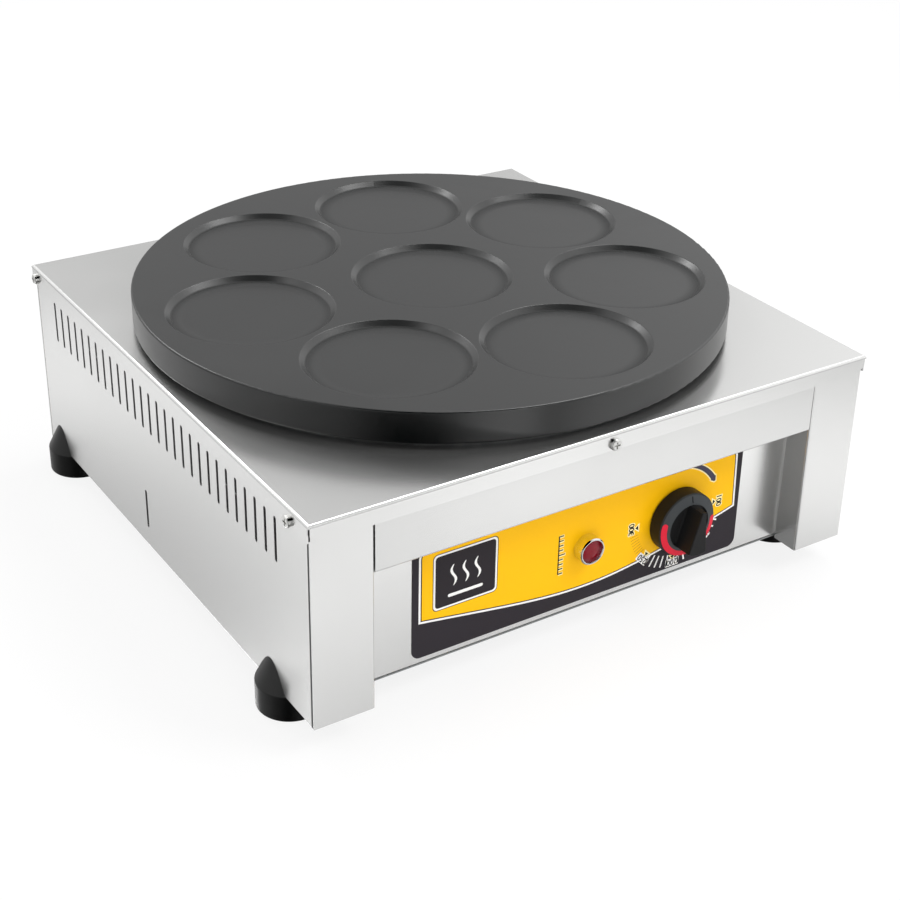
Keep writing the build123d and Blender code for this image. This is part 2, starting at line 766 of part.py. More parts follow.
with BuildPart() as rear_panel:
    with BuildSketch(Plane.XY.offset(body_base)):
        with Locations((0, rear_face)):
            Rectangle(body_width, sheet, align=(Align.CENTER, Align.MAX))
    extrude(amount=body_height)
    # flanges between those of the side panels
    for level, side_flange, upward in (
        (cover_inside, panel_top_flange, -1), (body_base, panel_bottom_flange, 1)
    ):
        with BuildSketch(Plane.XY.offset(level)):
            with Locations((0, rear_face - sheet)):
                Rectangle(
                    2 * (side_face - side_flange - base_play), rear_panel_flange - sheet,
                    align=(Align.CENTER, Align.MAX),
                )
        extrude(amount=upward * sheet)
    outer_edges = rear_panel.edges().filter_by(Axis.X).group_by(Axis.Y)[-1]
    fillet(outer_edges, fold_share * sheet)
    with Locations(*rear_screw_planes, rear_cover_plane):
        Cylinder(screw_hole_radius, 2 * reach_through, mode=Mode.SUBTRACT)
    with Locations(gland_plane):
        Cylinder(gland_thread / 2 + hole_play, 2 * sheet, mode=Mode.SUBTRACT)
rear_panel.part.label = "rear_panel"
export_step(rear_panel.part, "parts/rear_panel.step")

base_front = panel_face + base_play
base_rear = panel_rear - sheet - base_play
base_middle = (base_front + base_rear) / 2
with BuildPart() as base_plate:
    with BuildSketch(Plane.XY.offset(base_level)):
        with Locations((0, base_middle)):
            Rectangle(2 * (side_face - sheet - base_play), base_rear - base_front)
            with GridLocations(vent_pitch_x, vent_pitch_y, vent_columns, vent_rows):
                SlotOverall(vent_slot_length, vent_slot_width, rotation=90, mode=Mode.SUBTRACT)
        with Locations(*foot_spots):
            Circle(foot_screw_diameter / 2 + hole_play, mode=Mode.SUBTRACT)
    extrude(amount=sheet)
base_plate.part.label = "base_plate"
export_step(base_plate.part, "parts/base_plate.step")

# ---------------------------------------------------------------- feet

# rubber foot: a round base under the body and a conical bumper on the face of the side panel
bumper_top = ground_clearance + foot_bumper_height
foot_plane = Plane(origin=(-foot_x, front_foot_y, 0), x_dir=(-1, 0, 0), z_dir=(0, 1, 0))
with BuildPart() as front_left_foot:
    with BuildSketch(foot_plane):
        with BuildLine():
            Polyline(
                (0, 0),
                (foot_diameter / 2, 0),
                (foot_diameter / 2, ground_clearance),
                (foot_inset, bumper_top),
                (0, bumper_top),
                close=True,
            )
        make_face()
    revolve(axis=Axis((-foot_x, front_foot_y, 0), (0, 0, 1)))
    round_edges = front_left_foot.edges().filter_by(GeomType.CIRCLE)
    fillet(round_edges.group_by(Axis.Z)[0], foot_edge_radius)
    crease = front_left_foot.edges().filter_by_position(Axis.Z, ground_clearance, ground_clearance)
    fillet(crease, foot_crease_radius)
    # seat under the body and flat back of the bumper
    with BuildSketch(Plane.XY.offset(ground_clearance)):
        with Locations((-side_face, front_foot_y)):
            Rectangle(
                2 * foot_diameter, 2 * foot_diameter, align=(Align.MIN, Align.CENTER)
            )
    extrude(amount=2 * foot_bumper_height, mode=Mode.SUBTRACT)
    with BuildSketch():
        with Locations((-foot_x, front_foot_y)):
            Circle(foot_counterbore_diameter / 2)
    extrude(amount=foot_counterbore_depth, mode=Mode.SUBTRACT)
    with BuildSketch():
        with Locations((-foot_x, front_foot_y)):
            Circle(foot_screw_diameter / 2 + hole_play)
    extrude(amount=ground_clearance, mode=Mode.SUBTRACT)
front_left_foot.part.label = "front_left_foot"
export_step(front_left_foot.part, "parts/front_left_foot.step")

with BuildPart() as front_right_foot:
    mirror(front_left_foot.part, about=Plane.YZ)
front_right_foot.part.label = "front_right_foot"
export_step(front_right_foot.part, "parts/front_right_foot.step")

with BuildPart() as rear_left_foot:
    with Locations((0, rear_foot_y - front_foot_y, 0)):
        add(front_left_foot.part)
rear_left_foot.part.label = "rear_left_foot"
export_step(rear_left_foot.part, "parts/rear_left_foot.step")

with BuildPart() as rear_right_foot:
    with Locations((0, rear_foot_y - front_foot_y, 0)):
        add(front_right_foot.part)
rear_right_foot.part.label = "rear_right_foot"
export_step(rear_right_foot.part, "parts/rear_right_foot.step")

# screws with their heads in the counterbores, and the nuts on the base plate
with BuildPart() as foot_screws:
    with BuildSketch(Plane.XY.offset(foot_counterbore_depth)):
        with Locations(*foot_spots):
            Circle(foot_screw_head_diameter / 2)
    extrude(amount=-foot_screw_head_height)
    with BuildSketch(Plane.XY.offset(foot_counterbore_depth)):
        with Locations(*foot_spots):
            Circle(foot_screw_diameter / 2)
    extrude(amount=base_top + foot_screw_above - foot_counterbore_depth)
foot_screws.part.label = "foot_screws"
export_step(foot_screws.part, "parts/foot_screws.step")

with BuildPart() as foot_nuts:
    with BuildSketch(Plane.XY.offset(base_top)):
        with Locations(*foot_spots):
            RegularPolygon(foot_nut_width / 2, 6, major_radius=False)
            Circle(foot_screw_diameter / 2, mode=Mode.SUBTRACT)
    extrude(amount=foot_nut_height)
foot_nuts.part.label = "foot_nuts"
export_step(foot_nuts.part, "parts/foot_nuts.step")

# ---------------------------------------------------------------- fasteners of the body

# pan-head screw with a cross recess, its head above the XY plane
with BuildPart() as pan_screw:
    with BuildSketch():
        Circle(screw_head_diameter / 2)
    extrude(amount=screw_head_height)
    fillet(pan_screw.edges().sort_by(Axis.Z)[-1], screw_head_radius)
    with BuildSketch(Plane.XY.offset(screw_head_height)):
        Rectangle(cross_length, cross_width)
        Rectangle(cross_width, cross_length)
    extrude(amount=-screw_recess, mode=Mode.SUBTRACT)
    with BuildSketch():
        Circle(screw_diameter / 2)
    extrude(amount=-screw_length)

# hexagon clip nut on the same axis, behind the sheets that the screw holds
with BuildPart() as clip_nut:
    with BuildSketch():
        RegularPolygon(clip_nut_width / 2, 6, major_radius=False)
        Circle(screw_diameter / 2, mode=Mode.SUBTRACT)
    extrude(amount=-clip_nut_height)

with BuildPart() as cover_screws:
    with Locations(*cover_screw_planes):
        add(pan_screw.part)
cover_screws.part.label = "cover_screws"
export_step(cover_screws.part, "parts/cover_screws.step")

with BuildPart() as cover_nuts:
    with Locations(*[plane.offset(-cover_overhang - sheet) for plane in cover_screw_planes]):
        add(clip_nut.part)
cover_nuts.part.label = "cover_nuts"
export_step(cover_nuts.part, "parts/cover_nuts.step")

with BuildPart() as rear_screws:
    with Locations(*rear_screw_planes):
        add(pan_screw.part)
rear_screws.part.label = "rear_screws"
export_step(rear_screws.part, "parts/rear_screws.step")

with BuildPart() as rear_nuts:
    with Locations(*[plane.offset(-2 * sheet) for plane in rear_screw_planes]):
        add(clip_nut.part)
rear_nuts.part.label = "rear_nuts"
export_step(rear_nuts.part, "parts/rear_nuts.step")

# ---------------------------------------------------------------- knob and thermostat


def flatted_section():
    """Round of the shaft less its flat, in the sketch at hand."""
    Circle(shaft_diameter / 2)
    with Locations((0, shaft_diameter / 2)):
        Rectangle(shaft_diameter, shaft_flat, align=(Align.CENTER, Align.MAX), mode=Mode.SUBTRACT)


# the grip: a wedge across the recess, with its narrow end at the index
with BuildPart() as grip:
    for reach in (-knob_radius, knob_radius):
        crest = grip_width / 2 - reach * tan(radians(grip_taper))
        root = crest + grip_draft
        with BuildSketch(Plane(origin=(0, reach, 0), x_dir=(1, 0, 0), z_dir=(0, -1, 0))):
            with BuildLine():
                Polyline(
                    (-root - grip_root_slope, recess_floor),
                    (-root, recess_floor + grip_root_slope),
                    (-crest, grip_front),
                    (crest, grip_front),
                    (root, recess_floor + grip_root_slope),
                    (root + grip_root_slope, recess_floor),
                    close=True,
                )
            make_face()
    loft(ruled=True)
    with BuildSketch():
        Circle(recess_radius + grip_end_lap)
    extrude(amount=grip_front, mode=Mode.INTERSECT)
    fillet(grip.faces().sort_by(Axis.Z)[-1].edges(), grip_edge_radius)

with BuildPart() as knob_shape:
    with BuildSketch(Plane.XZ):
        with BuildLine():
            Polyline(
                (0, hollow_front),
                (hollow_radius, hollow_front),
                (hollow_radius, knob_gap),
                (knob_radius, knob_gap),
                (knob_radius, drum_front - knob_edge),
                (knob_radius - knob_edge, drum_front),
                (recess_radius + knob_edge / 2, face_front),
                (recess_radius, face_front - knob_edge / 2),
                (recess_radius, recess_floor),
                (0, recess_floor),
                close=True,
            )
        make_face()
    revolve(axis=Axis.Z)
    with BuildSketch(Plane.XY.offset(hub_start)):
        Circle(knob_hub_diameter / 2)
    extrude(amount=hollow_front - hub_start)
    add(grip.part)
    with BuildSketch(Plane.XY.offset(hub_start)):
        flatted_section()
    extrude(amount=recess_floor + shaft_into_grip + shaft_end_gap - hub_start, mode=Mode.SUBTRACT)
    # index line across the face
    with BuildSketch(Plane.XY.offset(face_front)):
        with Locations((0, (knob_radius + recess_radius) / 2)):
            Rectangle(index_width, knob_face_width - 2 * index_margin)
    extrude(amount=-index_depth, mode=Mode.SUBTRACT)

with BuildPart() as control_knob:
    with Locations(knob_plane):
        add(knob_shape.part)
control_knob.part.label = "control_knob"
export_step(control_knob.part, "parts/control_knob.step")

# round where it turns in the bush, flatted where it drives the knob
with BuildPart() as shaft_shape:
    with BuildSketch(Plane.XY.offset(-shaft_tail)):
        Circle(shaft_diameter / 2)
    extrude(amount=shaft_tail + hub_start)
    with BuildSketch(Plane.XY.offset(hub_start)):
        flatted_section()
    extrude(amount=recess_floor + shaft_into_grip - hub_start)

with BuildPart() as thermostat_shaft:
    with Locations(knob_plane):
        add(shaft_shape.part)
thermostat_shaft.part.label = "thermostat_shaft"
export_step(thermostat_shaft.part, "parts/thermostat_shaft.step")

# switch body behind the panel, with a round bush through it and blade terminals at the back
body_front = thermostat_plane.offset(-sheet)
bush_length = sheet + label_thickness + bush_reach
with BuildPart() as thermostat_body:
    with BuildSketch(body_front):
        RectangleRounded(thermostat_width, thermostat_height, thermostat_corner)
    extrude(amount=-thermostat_depth)
    with BuildSketch(body_front):
        Circle(bush_diameter / 2)
    extrude(amount=bush_length)
    with BuildSketch(body_front.offset(-thermostat_depth)):
        with GridLocations(tab_spacing_x, tab_spacing_z, 2, 2):
            Rectangle(tab_width, tab_thickness)
    extrude(amount=-tab_length)
    with BuildSketch(body_front.offset(bush_length)):
        Circle(shaft_diameter / 2 + shaft_clearance)
    extrude(amount=-(bush_reach + shaft_tail + shaft_end_gap), mode=Mode.SUBTRACT)
    with BuildSketch(body_front):
        with GridLocations(thermostat_screw_spacing, 1, 2, 1):
            Circle(screw_diameter / 2)
    extrude(amount=-screw_length, mode=Mode.SUBTRACT)
thermostat_body.part.label = "thermostat_body"
export_step(thermostat_body.part, "parts/thermostat_body.step")

with BuildPart() as thermostat_screws:
    with Locations(thermostat_plane.offset(label_thickness)):
        with GridLocations(thermostat_screw_spacing, 1, 2, 1):
            add(pan_screw.part)
thermostat_screws.part.label = "thermostat_screws"
export_step(thermostat_screws.part, "parts/thermostat_screws.step")

# sensor bulb under the plate, and the capillary down to the thermostat
with BuildPart() as sensor_bulb:
    with BuildSketch(Plane.XZ.offset(bulb_length / 2)):
        with Locations((bulb_x, bulb_level)):
            Circle(bulb_diameter / 2)
    extrude(amount=-bulb_length)
    fillet(sensor_bulb.edges().filter_by(GeomType.CIRCLE), bulb_end_radius)
sensor_bulb.part.label = "sensor_bulb"
export_step(sensor_bulb.part, "parts/sensor_bulb.step")

capillary_level = shield_base - support_rail_height - capillary_drop
thermostat_back = panel_face + sheet + thermostat_depth
capillary_entry = knob_height - capillary_fall
with BuildPart() as capillary:
    with BuildLine() as capillary_path:
        FilletPolyline(
            (bulb_x, -bulb_length / 2, bulb_level),
            (bulb_x, capillary_y, bulb_level),
            (bulb_x, capillary_y, capillary_level),
            (knob_offset, thermostat_back + capillary_back, capillary_level),
            (knob_offset, thermostat_back + capillary_back, capillary_entry),
            (knob_offset, thermostat_back, capillary_entry),
            radius=capillary_bend,
        )
    capillary_line = capillary_path.wire()
    with BuildSketch(Plane(capillary_line @ 0, z_dir=capillary_line % 0)):
        Circle(capillary_diameter / 2)
    sweep(path=capillary_line)
capillary.part.label = "capillary"
export_step(capillary.part, "parts/capillary.step")

# saddle that holds the bulb up, standing on the clamp plate
with BuildPart() as bulb_saddle:
    with BuildSketch(Plane.XZ.offset(saddle_inset - bulb_length / 2)):
        with Locations((bulb_x, clamp_top)):
            Rectangle(saddle_width, bulb_level - clamp_top, align=(Align.CENTER, Align.MIN))
        with Locations((bulb_x, bulb_level)):
            Circle(bulb_diameter / 2, mode=Mode.SUBTRACT)
    extrude(amount=saddle_length / 2, both=True)
bulb_saddle.part.label = "bulb_saddle"
export_step(bulb_saddle.part, "parts/bulb_saddle.step")

# ---------------------------------------------------------------- pilot lamp

bezel_radius = lamp_bezel_diameter / 2
bezel_inner = bezel_radius - lamp_bezel_wall
bezel_crest = lamp_bezel_reach - lamp_bezel_edge
neck_radius = lamp_neck_diameter / 2
lamp_section = Plane(origin=lamp_plane.origin, x_dir=(1, 0, 0), z_dir=(0, 0, -1))

# chromed ring with a floor, seen in section from its axis outwards
with BuildPart() as lamp_bezel:
    with BuildSketch(lamp_section):
        with BuildLine():
            Polyline(
                (neck_radius, 0),
                (bezel_radius, 0),
                (bezel_radius, bezel_crest),
                (bezel_radius - lamp_bezel_edge, lamp_bezel_reach),
                (bezel_inner + lamp_bezel_edge / 2, lamp_bezel_reach),
                (bezel_inner, bezel_crest),
                (bezel_inner, lamp_bezel_floor),
                (neck_radius, lamp_bezel_floor),
                close=True,
            )
        make_face()
    revolve(axis=Axis(lamp_plane.origin, (0, -1, 0)))
lamp_bezel.part.label = "lamp_bezel"
export_step(lamp_bezel.part, "parts/lamp_bezel.step")

# domed lens: a disc rounded by the front of a ball
lens_front = lamp_bezel_reach - lamp_lens_recess
dome_radius = (bezel_inner**2 + lamp_lens_dome**2) / (2 * lamp_lens_dome)
with BuildPart() as lamp_lens:
    with BuildSketch(lamp_plane.offset(lamp_bezel_floor)):
        Circle(bezel_inner)
    extrude(amount=lens_front - lamp_bezel_floor)
    with Locations(lamp_plane.offset(lens_front - dome_radius)):
        Sphere(dome_radius, mode=Mode.INTERSECT)
lamp_lens.part.label = "lamp_lens"
export_step(lamp_lens.part, "parts/lamp_lens.step")

with BuildPart() as lamp_body:
    with BuildSketch(lamp_plane.offset(lamp_bezel_floor)):
        Circle(neck_radius)
    extrude(amount=-lamp_bezel_floor - lamp_body_length)
    with BuildSketch(lamp_plane.offset(-lamp_body_length)):
        with GridLocations(lamp_tab_spacing, 1, 2, 1):
            Rectangle(tab_thickness, tab_width)
    extrude(amount=-tab_length)
lamp_body.part.label = "lamp_body"
export_step(lamp_body.part, "parts/lamp_body.step")

with BuildPart() as lamp_nut:
    with BuildSketch(lamp_plane.offset(-label_thickness - sheet)):
        RegularPolygon(lamp_nut_width / 2, 6, major_radius=False)
        Circle(neck_radius, mode=Mode.SUBTRACT)
    extrude(amount=-lamp_nut_height)
lamp_nut.part.label = "lamp_nut"
export_step(lamp_nut.part, "parts/lamp_nut.step")

# ---------------------------------------------------------------- mains side

# low cable gland: a domed head with two spanner flats, and a thread through the rear panel
with BuildPart() as cable_gland:
    with BuildSketch(gland_plane):
        Circle(gland_head_diameter / 2)
    extrude(amount=gland_head_height)
    fillet(cable_gland.edges().sort_by(Axis.Y)[-1], gland_head_radius)
    with BuildSketch(gland_plane):
        Rectangle(gland_flat_width, gland_head_diameter)
    extrude(amount=gland_head_height, mode=Mode.INTERSECT)
    with BuildSketch(gland_plane):
        Circle(gland_thread / 2)
    extrude(amount=-gland_inner_length)
    with BuildSketch(gland_plane.offset(gland_head_height)):
        Circle(gland_bore / 2)
    extrude(amount=-gland_head_height - gland_inner_length, mode=Mode.SUBTRACT)
cable_gland.part.label = "cable_gland"
export_step(cable_gland.part, "parts/cable_gland.step")

with BuildPart() as gland_nut:
    with BuildSketch(gland_plane.offset(-sheet)):
        RegularPolygon(gland_nut_width / 2, 6, major_radius=False)
        Circle(gland_thread / 2, mode=Mode.SUBTRACT)
    extrude(amount=-gland_nut_height)
gland_nut.part.label = "gland_nut"
export_step(gland_nut.part, "parts/gland_nut.step")

# earth stud welded on the base plate, its two nuts a cable lug apart
with BuildPart() as earth_stud:
    with BuildSketch(Plane.XY.offset(base_top)):
        with Locations((earth_x, earth_y)):
            Circle(earth_diameter / 2)
    extrude(amount=earth_length)
earth_stud.part.label = "earth_stud"
export_step(earth_stud.part, "parts/earth_stud.step")

with BuildPart() as earth_nuts:
    for level in (base_top, base_top + earth_nut_height + earth_lug_gap):
        with BuildSketch(Plane.XY.offset(level)):
            with Locations((earth_x, earth_y)):
                RegularPolygon(earth_nut_width / 2, 6, major_radius=False)
                Circle(earth_diameter / 2, mode=Mode.SUBTRACT)
        extrude(amount=earth_nut_height)
earth_nuts.part.label = "earth_nuts"
export_step(earth_nuts.part, "parts/earth_nuts.step")

# three-pole block on the base plate, a hole for a wire at each end of each pole
with BuildPart() as terminal_block:
    with Locations((terminal_x, terminal_y, base_top)):
        Box(
            terminal_width, terminal_depth, terminal_base_height,
            align=(Align.CENTER, Align.CENTER, Align.MIN),
        )
        Box(
            terminal_crown_width, terminal_crown_depth, terminal_height,
            align=(Align.CENTER, Align.CENTER, Align.MIN),
        )
    with Locations((terminal_x, terminal_y, base_top + terminal_hole_rise)):
        with GridLocations(terminal_pitch, 1, terminal_poles, 1):
            Cylinder(
                terminal_hole / 2, 2 * terminal_depth, rotation=(90, 0, 0), mode=Mode.SUBTRACT
            )
terminal_block.part.label = "terminal_block"
export_step(terminal_block.part, "parts/terminal_block.step")
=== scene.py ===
# Electric crepe maker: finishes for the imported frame, the printed control label, the dial and the
# knob's paint. Blender's own lengths are metres. Lengths in the dictionaries are millimetres,
# except in the studio's, which are metres. Angles are degrees.
import json
from math import cos, pi, radians, sin

import bmesh
import bpy
from mathutils import Matrix, Vector
from mathutils.geometry import interpolate_bezier


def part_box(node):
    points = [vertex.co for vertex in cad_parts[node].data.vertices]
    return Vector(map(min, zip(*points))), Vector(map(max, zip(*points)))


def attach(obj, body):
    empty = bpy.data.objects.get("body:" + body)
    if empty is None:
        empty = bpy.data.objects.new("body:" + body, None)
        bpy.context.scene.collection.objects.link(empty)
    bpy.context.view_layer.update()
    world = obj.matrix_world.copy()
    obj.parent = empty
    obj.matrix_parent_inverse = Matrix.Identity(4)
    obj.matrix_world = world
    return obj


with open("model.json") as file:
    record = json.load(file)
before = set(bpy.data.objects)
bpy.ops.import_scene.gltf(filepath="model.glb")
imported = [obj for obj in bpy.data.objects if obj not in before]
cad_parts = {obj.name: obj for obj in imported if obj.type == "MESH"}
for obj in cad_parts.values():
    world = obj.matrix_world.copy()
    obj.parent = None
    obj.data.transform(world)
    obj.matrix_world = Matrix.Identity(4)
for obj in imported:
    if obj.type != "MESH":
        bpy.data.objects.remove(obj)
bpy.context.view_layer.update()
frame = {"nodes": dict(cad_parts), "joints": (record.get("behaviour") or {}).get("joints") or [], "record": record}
mm = 0.001

scene = bpy.context.scene
scene.view_settings.view_transform = "Standard"
print("frame loaded:", len(frame["nodes"]), "nodes")


def linear(hexColour):
    # sRGB hex to the linear colour that shaders work in
    channels = [int(hexColour[i : i + 2], 16) / 255 for i in (1, 3, 5)]
    return [c / 12.92 if c <= 0.04045 else ((c + 0.055) / 1.055) ** 2.4 for c in channels] + [1.0]


def link(tree, node, sources):
    for name, source in sources.items():
        tree.links.new(source, node.inputs[name])


def addNode(tree, kind, settings=None, sockets=None, links=None):
    node = tree.nodes.new(kind)
    for name, value in (settings or {}).items():
        setattr(node, name, value)
    for name, value in (sockets or {}).items():
        node.inputs[name].default_value = value
    link(tree, node, links or {})
    return node


def newMaterial(name, sockets):
    # place is the Object coordinate that the material's patterns read
    material = bpy.data.materials.new(name)
    material.use_nodes = True
    tree = material.node_tree
    shader = tree.nodes["Principled BSDF"]
    for socket, value in sockets.items():
        shader.inputs[socket].default_value = value
    place = addNode(tree, "ShaderNodeTexCoord").outputs["Object"]
    return material, tree, shader, place


def finishPiece(name, mesh, material, body):
    bmesh.ops.recalc_face_normals(mesh, faces=mesh.faces)
    data = bpy.data.meshes.new(name)
    mesh.to_mesh(data)
    mesh.free()
    data.materials.append(material)
    piece = bpy.data.objects.new(name, data)
    scene.collection.objects.link(piece)
    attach(piece, body)


camera = {
    "target": (-35.6, -129.1, 156.0),  # point on the cover that the camera is aimed at
    "distance": 1058.9,
    "azimuth": -34.431,  # seen from the front left
    "elevation": 27.199,
    "roll": 1.765,
    "lens": 68.652,
    "sensor": 36.0,
    "shift": (-0.0480, -0.0612),
    "clip": (0.01, 100),  # metres
}


def makeCamera():
    azimuth, elevation, roll = (radians(camera[key]) for key in ("azimuth", "elevation", "roll"))
    back = Vector((sin(azimuth) * cos(elevation), -cos(azimuth) * cos(elevation), sin(elevation)))
    level = Vector((0, 0, 1)).cross(back).normalized()
    turn = Matrix.Rotation(roll, 3, back)
    right = turn @ level
    up = back.cross(right)
    data = bpy.data.cameras.new("productCamera")
    data.lens = camera["lens"]
    data.sensor_width = camera["sensor"]
    data.shift_x, data.shift_y = camera["shift"]
    data.clip_start, data.clip_end = camera["clip"]
    eye = bpy.data.objects.new("productCamera", data)
    scene.collection.objects.link(eye)
    place = Matrix((right, up, back)).transposed().to_4x4()
    place.translation = Vector(camera["target"]) * mm + back * camera["distance"] * mm
    eye.matrix_world = place
    scene.camera = eye


makeCamera()
print("camera set")


studio = {
    "floorSize": 40.0,
    "floorColour": "#F6F6F6",
    "floorGlow": 0.85,  # share of the floor that is white by itself, so the rest can hold the shadow
    "floorMirror": 0.72,  # share of the room that metal sees in the polished floor
    "floorRoughness": 0.05,
    # brightness of the floor as metal sees it, each row from one place to another
    "floorByDepth": ((-0.35, 1.06), (0.40, 0.92)),  # from front to rear
    "floorByWidth": ((0.0, 1.0), (0.40, 0.86)),  # from the middle to the right
    "floorShade": ((0.23, 0.58), (0.42, 1.0)),  # and what is left of it close to the object
    "floorFar": ((0.46, 1.0), (0.75, 0.60)),  # and a long way off
    "shadeCentre": (0.03, 0.03, 0),
    "grey": 0.60,  # brightness of the room behind the object, as metal sees it
    "fill": 0.60,  # what the room adds as soft light
}

# parts of the room that metal sees: heading in degrees, clockwise from behind the object, elevation,
# cosines of the angles between which the patch begins and is whole, and what it adds
roomPatches = {
    "rightWindow": {"heading": 100, "elevation": 22, "edge": (0.42, 0.80), "adds": 0.55},
    "rearWindow": {"heading": 330, "elevation": 31, "edge": (0.78, 0.93), "adds": 0.42},
    "darkDoorway": {"heading": 200, "elevation": 24, "edge": (0.79, 0.875), "adds": -0.60},
    "darkCeiling": {"heading": 214, "elevation": 66, "edge": (0.60, 0.90), "adds": -0.58},
}

# place is the centre, power is in watts, and one that isn't mirrored lights without showing in metal
softBoxes = {
    "frontRight": {"place": (1.15, -1.25, 1.95), "aim": (0, 0, 0.1), "size": (1.1, 1.0), "power": 28,
                   "mirrored": False},
    "overhead": {"place": (0.75, 0.1, 1.80), "aim": (0, 0, 0.15), "size": (0.9, 0.9), "power": 12},
    "left": {"place": (-1.7, 0.3, 2.2), "aim": (0, 0, 0.1), "size": (1.0, 1.0), "power": 8},
    "frontFill": {"place": (-0.3, -2.4, 0.7), "aim": (0, 0, 0.1), "size": (1.2, 1.2), "power": 9},
    "behind": {"place": (-0.3, 1.65, 1.60), "aim": (0, 0, 0.15), "size": (0.8, 0.5), "power": 9},
}


def makeFloor():
    mesh = bmesh.new()
    bmesh.ops.create_grid(mesh, x_segments=1, y_segments=1, size=studio["floorSize"] / 2)
    data = bpy.data.meshes.new("floor")
    mesh.to_mesh(data)
    mesh.free()
    floor = bpy.data.objects.new("floor", data)
    scene.collection.objects.link(floor)
    material = bpy.data.materials.new("paleStudioFloor")
    material.use_nodes = True
    tree = material.node_tree
    tree.nodes.clear()
    path = addNode(tree, "ShaderNodeLightPath")
    seen = addNode(tree, "ShaderNodeMath", {"operation": "MAXIMUM"},
                   links={0: path.outputs["Is Camera Ray"], 1: path.outputs["Is Transmission Ray"]})
    share = addNode(tree, "ShaderNodeMath", {"operation": "MULTIPLY"}, {1: studio["floorGlow"]},
                    {0: seen.outputs[0]})
    paint = addNode(tree, "ShaderNodeBsdfDiffuse", sockets={"Color": linear(studio["floorColour"])})
    glow = addNode(tree, "ShaderNodeEmission", sockets={"Color": (1, 1, 1, 1), "Strength": 1.0})
    matt = addNode(tree, "ShaderNodeMixShader",
                   links={0: share.outputs[0], 1: paint.outputs[0], 2: glow.outputs[0]})
    # metal sees the floor brighter in front and darker in the object's own shade
    place = addNode(tree, "ShaderNodeTexCoord")
    depth = addNode(tree, "ShaderNodeSeparateXYZ", links={"Vector": place.outputs["Object"]})
    reach = addNode(tree, "ShaderNodeVectorMath", {"operation": "DISTANCE"},
                    {1: studio["shadeCentre"]}, {0: place.outputs["Object"]})
    levels = []
    for row, source in (("floorByDepth", depth.outputs["Y"]), ("floorByWidth", depth.outputs["X"]),
                        ("floorShade", reach.outputs["Value"]), ("floorFar", reach.outputs["Value"])):
        (start, startLevel), (end, endLevel) = studio[row]
        levels.append(addNode(tree, "ShaderNodeMapRange", {"interpolation_type": "SMOOTHSTEP"},
                              {"From Min": start, "From Max": end,
                               "To Min": startLevel, "To Max": endLevel},
                              {"Value": source}))
    level = levels[0]
    for part in levels[1:]:
        level = addNode(tree, "ShaderNodeMath", {"operation": "MULTIPLY"},
                        links={0: level.outputs[0], 1: part.outputs[0]})
    # it is polished acrylic, so metal also sees the room in it
    haze = addNode(tree, "ShaderNodeEmission", sockets={"Color": (1, 1, 1, 1)},
                   links={"Strength": level.outputs[0]})
    polish = addNode(tree, "ShaderNodeBsdfGlossy", sockets={"Roughness": studio["floorRoughness"]},
                     links={"Color": level.outputs[0]})
    mirrored = addNode(tree, "ShaderNodeMixShader", sockets={0: studio["floorMirror"]},
                       links={1: haze.outputs[0], 2: polish.outputs[0]})
    mix = addNode(tree, "ShaderNodeMixShader",
                  links={0: path.outputs["Is Glossy Ray"], 1: matt.outputs[0], 2: mirrored.outputs[0]})
    addNode(tree, "ShaderNodeOutputMaterial", links={"Surface": mix.outputs[0]})
    data.materials.append(material)


def makeWorld():
    world = bpy.data.worlds.new("studioWorld")
    world.use_nodes = True
    scene.world = world
    tree = world.node_tree
    tree.nodes.clear()
    path = addNode(tree, "ShaderNodeLightPath")
    direction = addNode(tree, "ShaderNodeTexCoord")
    room = addNode(tree, "ShaderNodeValue")
    room.outputs[0].default_value = studio["grey"]
    for patch in roomPatches.values():
        heading, elevation = radians(patch["heading"]), radians(patch["elevation"])
        middle = (sin(heading) * cos(elevation), cos(heading) * cos(elevation), sin(elevation))
        nearness = addNode(tree, "ShaderNodeVectorMath", {"operation": "DOT_PRODUCT"}, {1: middle},
                           {0: direction.outputs["Generated"]})
        begins, whole = patch["edge"]
        part = addNode(tree, "ShaderNodeMapRange", {"interpolation_type": "SMOOTHSTEP"},
                       {"From Min": begins, "From Max": whole, "To Max": patch["adds"]},
                       {"Value": nearness.outputs["Value"]})
        room = addNode(tree, "ShaderNodeMath", {"operation": "ADD"},
                       links={0: room.outputs[0], 1: part.outputs[0]})
    seen = addNode(tree, "ShaderNodeMath", {"operation": "MAXIMUM"},
                   links={0: path.outputs["Is Glossy Ray"], 1: path.outputs["Is Transmission Ray"]})
    soft = addNode(tree, "ShaderNodeMix", {"data_type": "FLOAT"}, {2: studio["fill"]},
                   {0: seen.outputs[0], 3: room.outputs[0]})
    level = addNode(tree, "ShaderNodeMix", {"data_type": "FLOAT"}, {3: 1.0},
                    {0: path.outputs["Is Camera Ray"], 2: soft.outputs[0]})
    light = addNode(tree, "ShaderNodeBackground", sockets={"Color": (1, 1, 1, 1)},
                    links={"Strength": level.outputs[0]})
    addNode(tree, "ShaderNodeOutputWorld", links={"Surface": light.outputs[0]})


def makeSoftBoxes():
    for name, box in softBoxes.items():
        data = bpy.data.lights.new(name, "AREA")
        data.shape = "RECTANGLE"
        data.size, data.size_y = box["size"]
        data.energy = box["power"]
        lamp = bpy.data.objects.new(name, data)
        scene.collection.objects.link(lamp)
        lamp.visible_glossy = box.get("mirrored", True)
        beam = Vector(box["aim"]) - Vector(box["place"])
        turn = beam.to_track_quat("-Z", "Y").to_matrix().to_4x4()
        lamp.matrix_world = Matrix.Translation(box["place"]) @ turn


makeFloor()
makeWorld()
makeSoftBoxes()
print("studio lit")


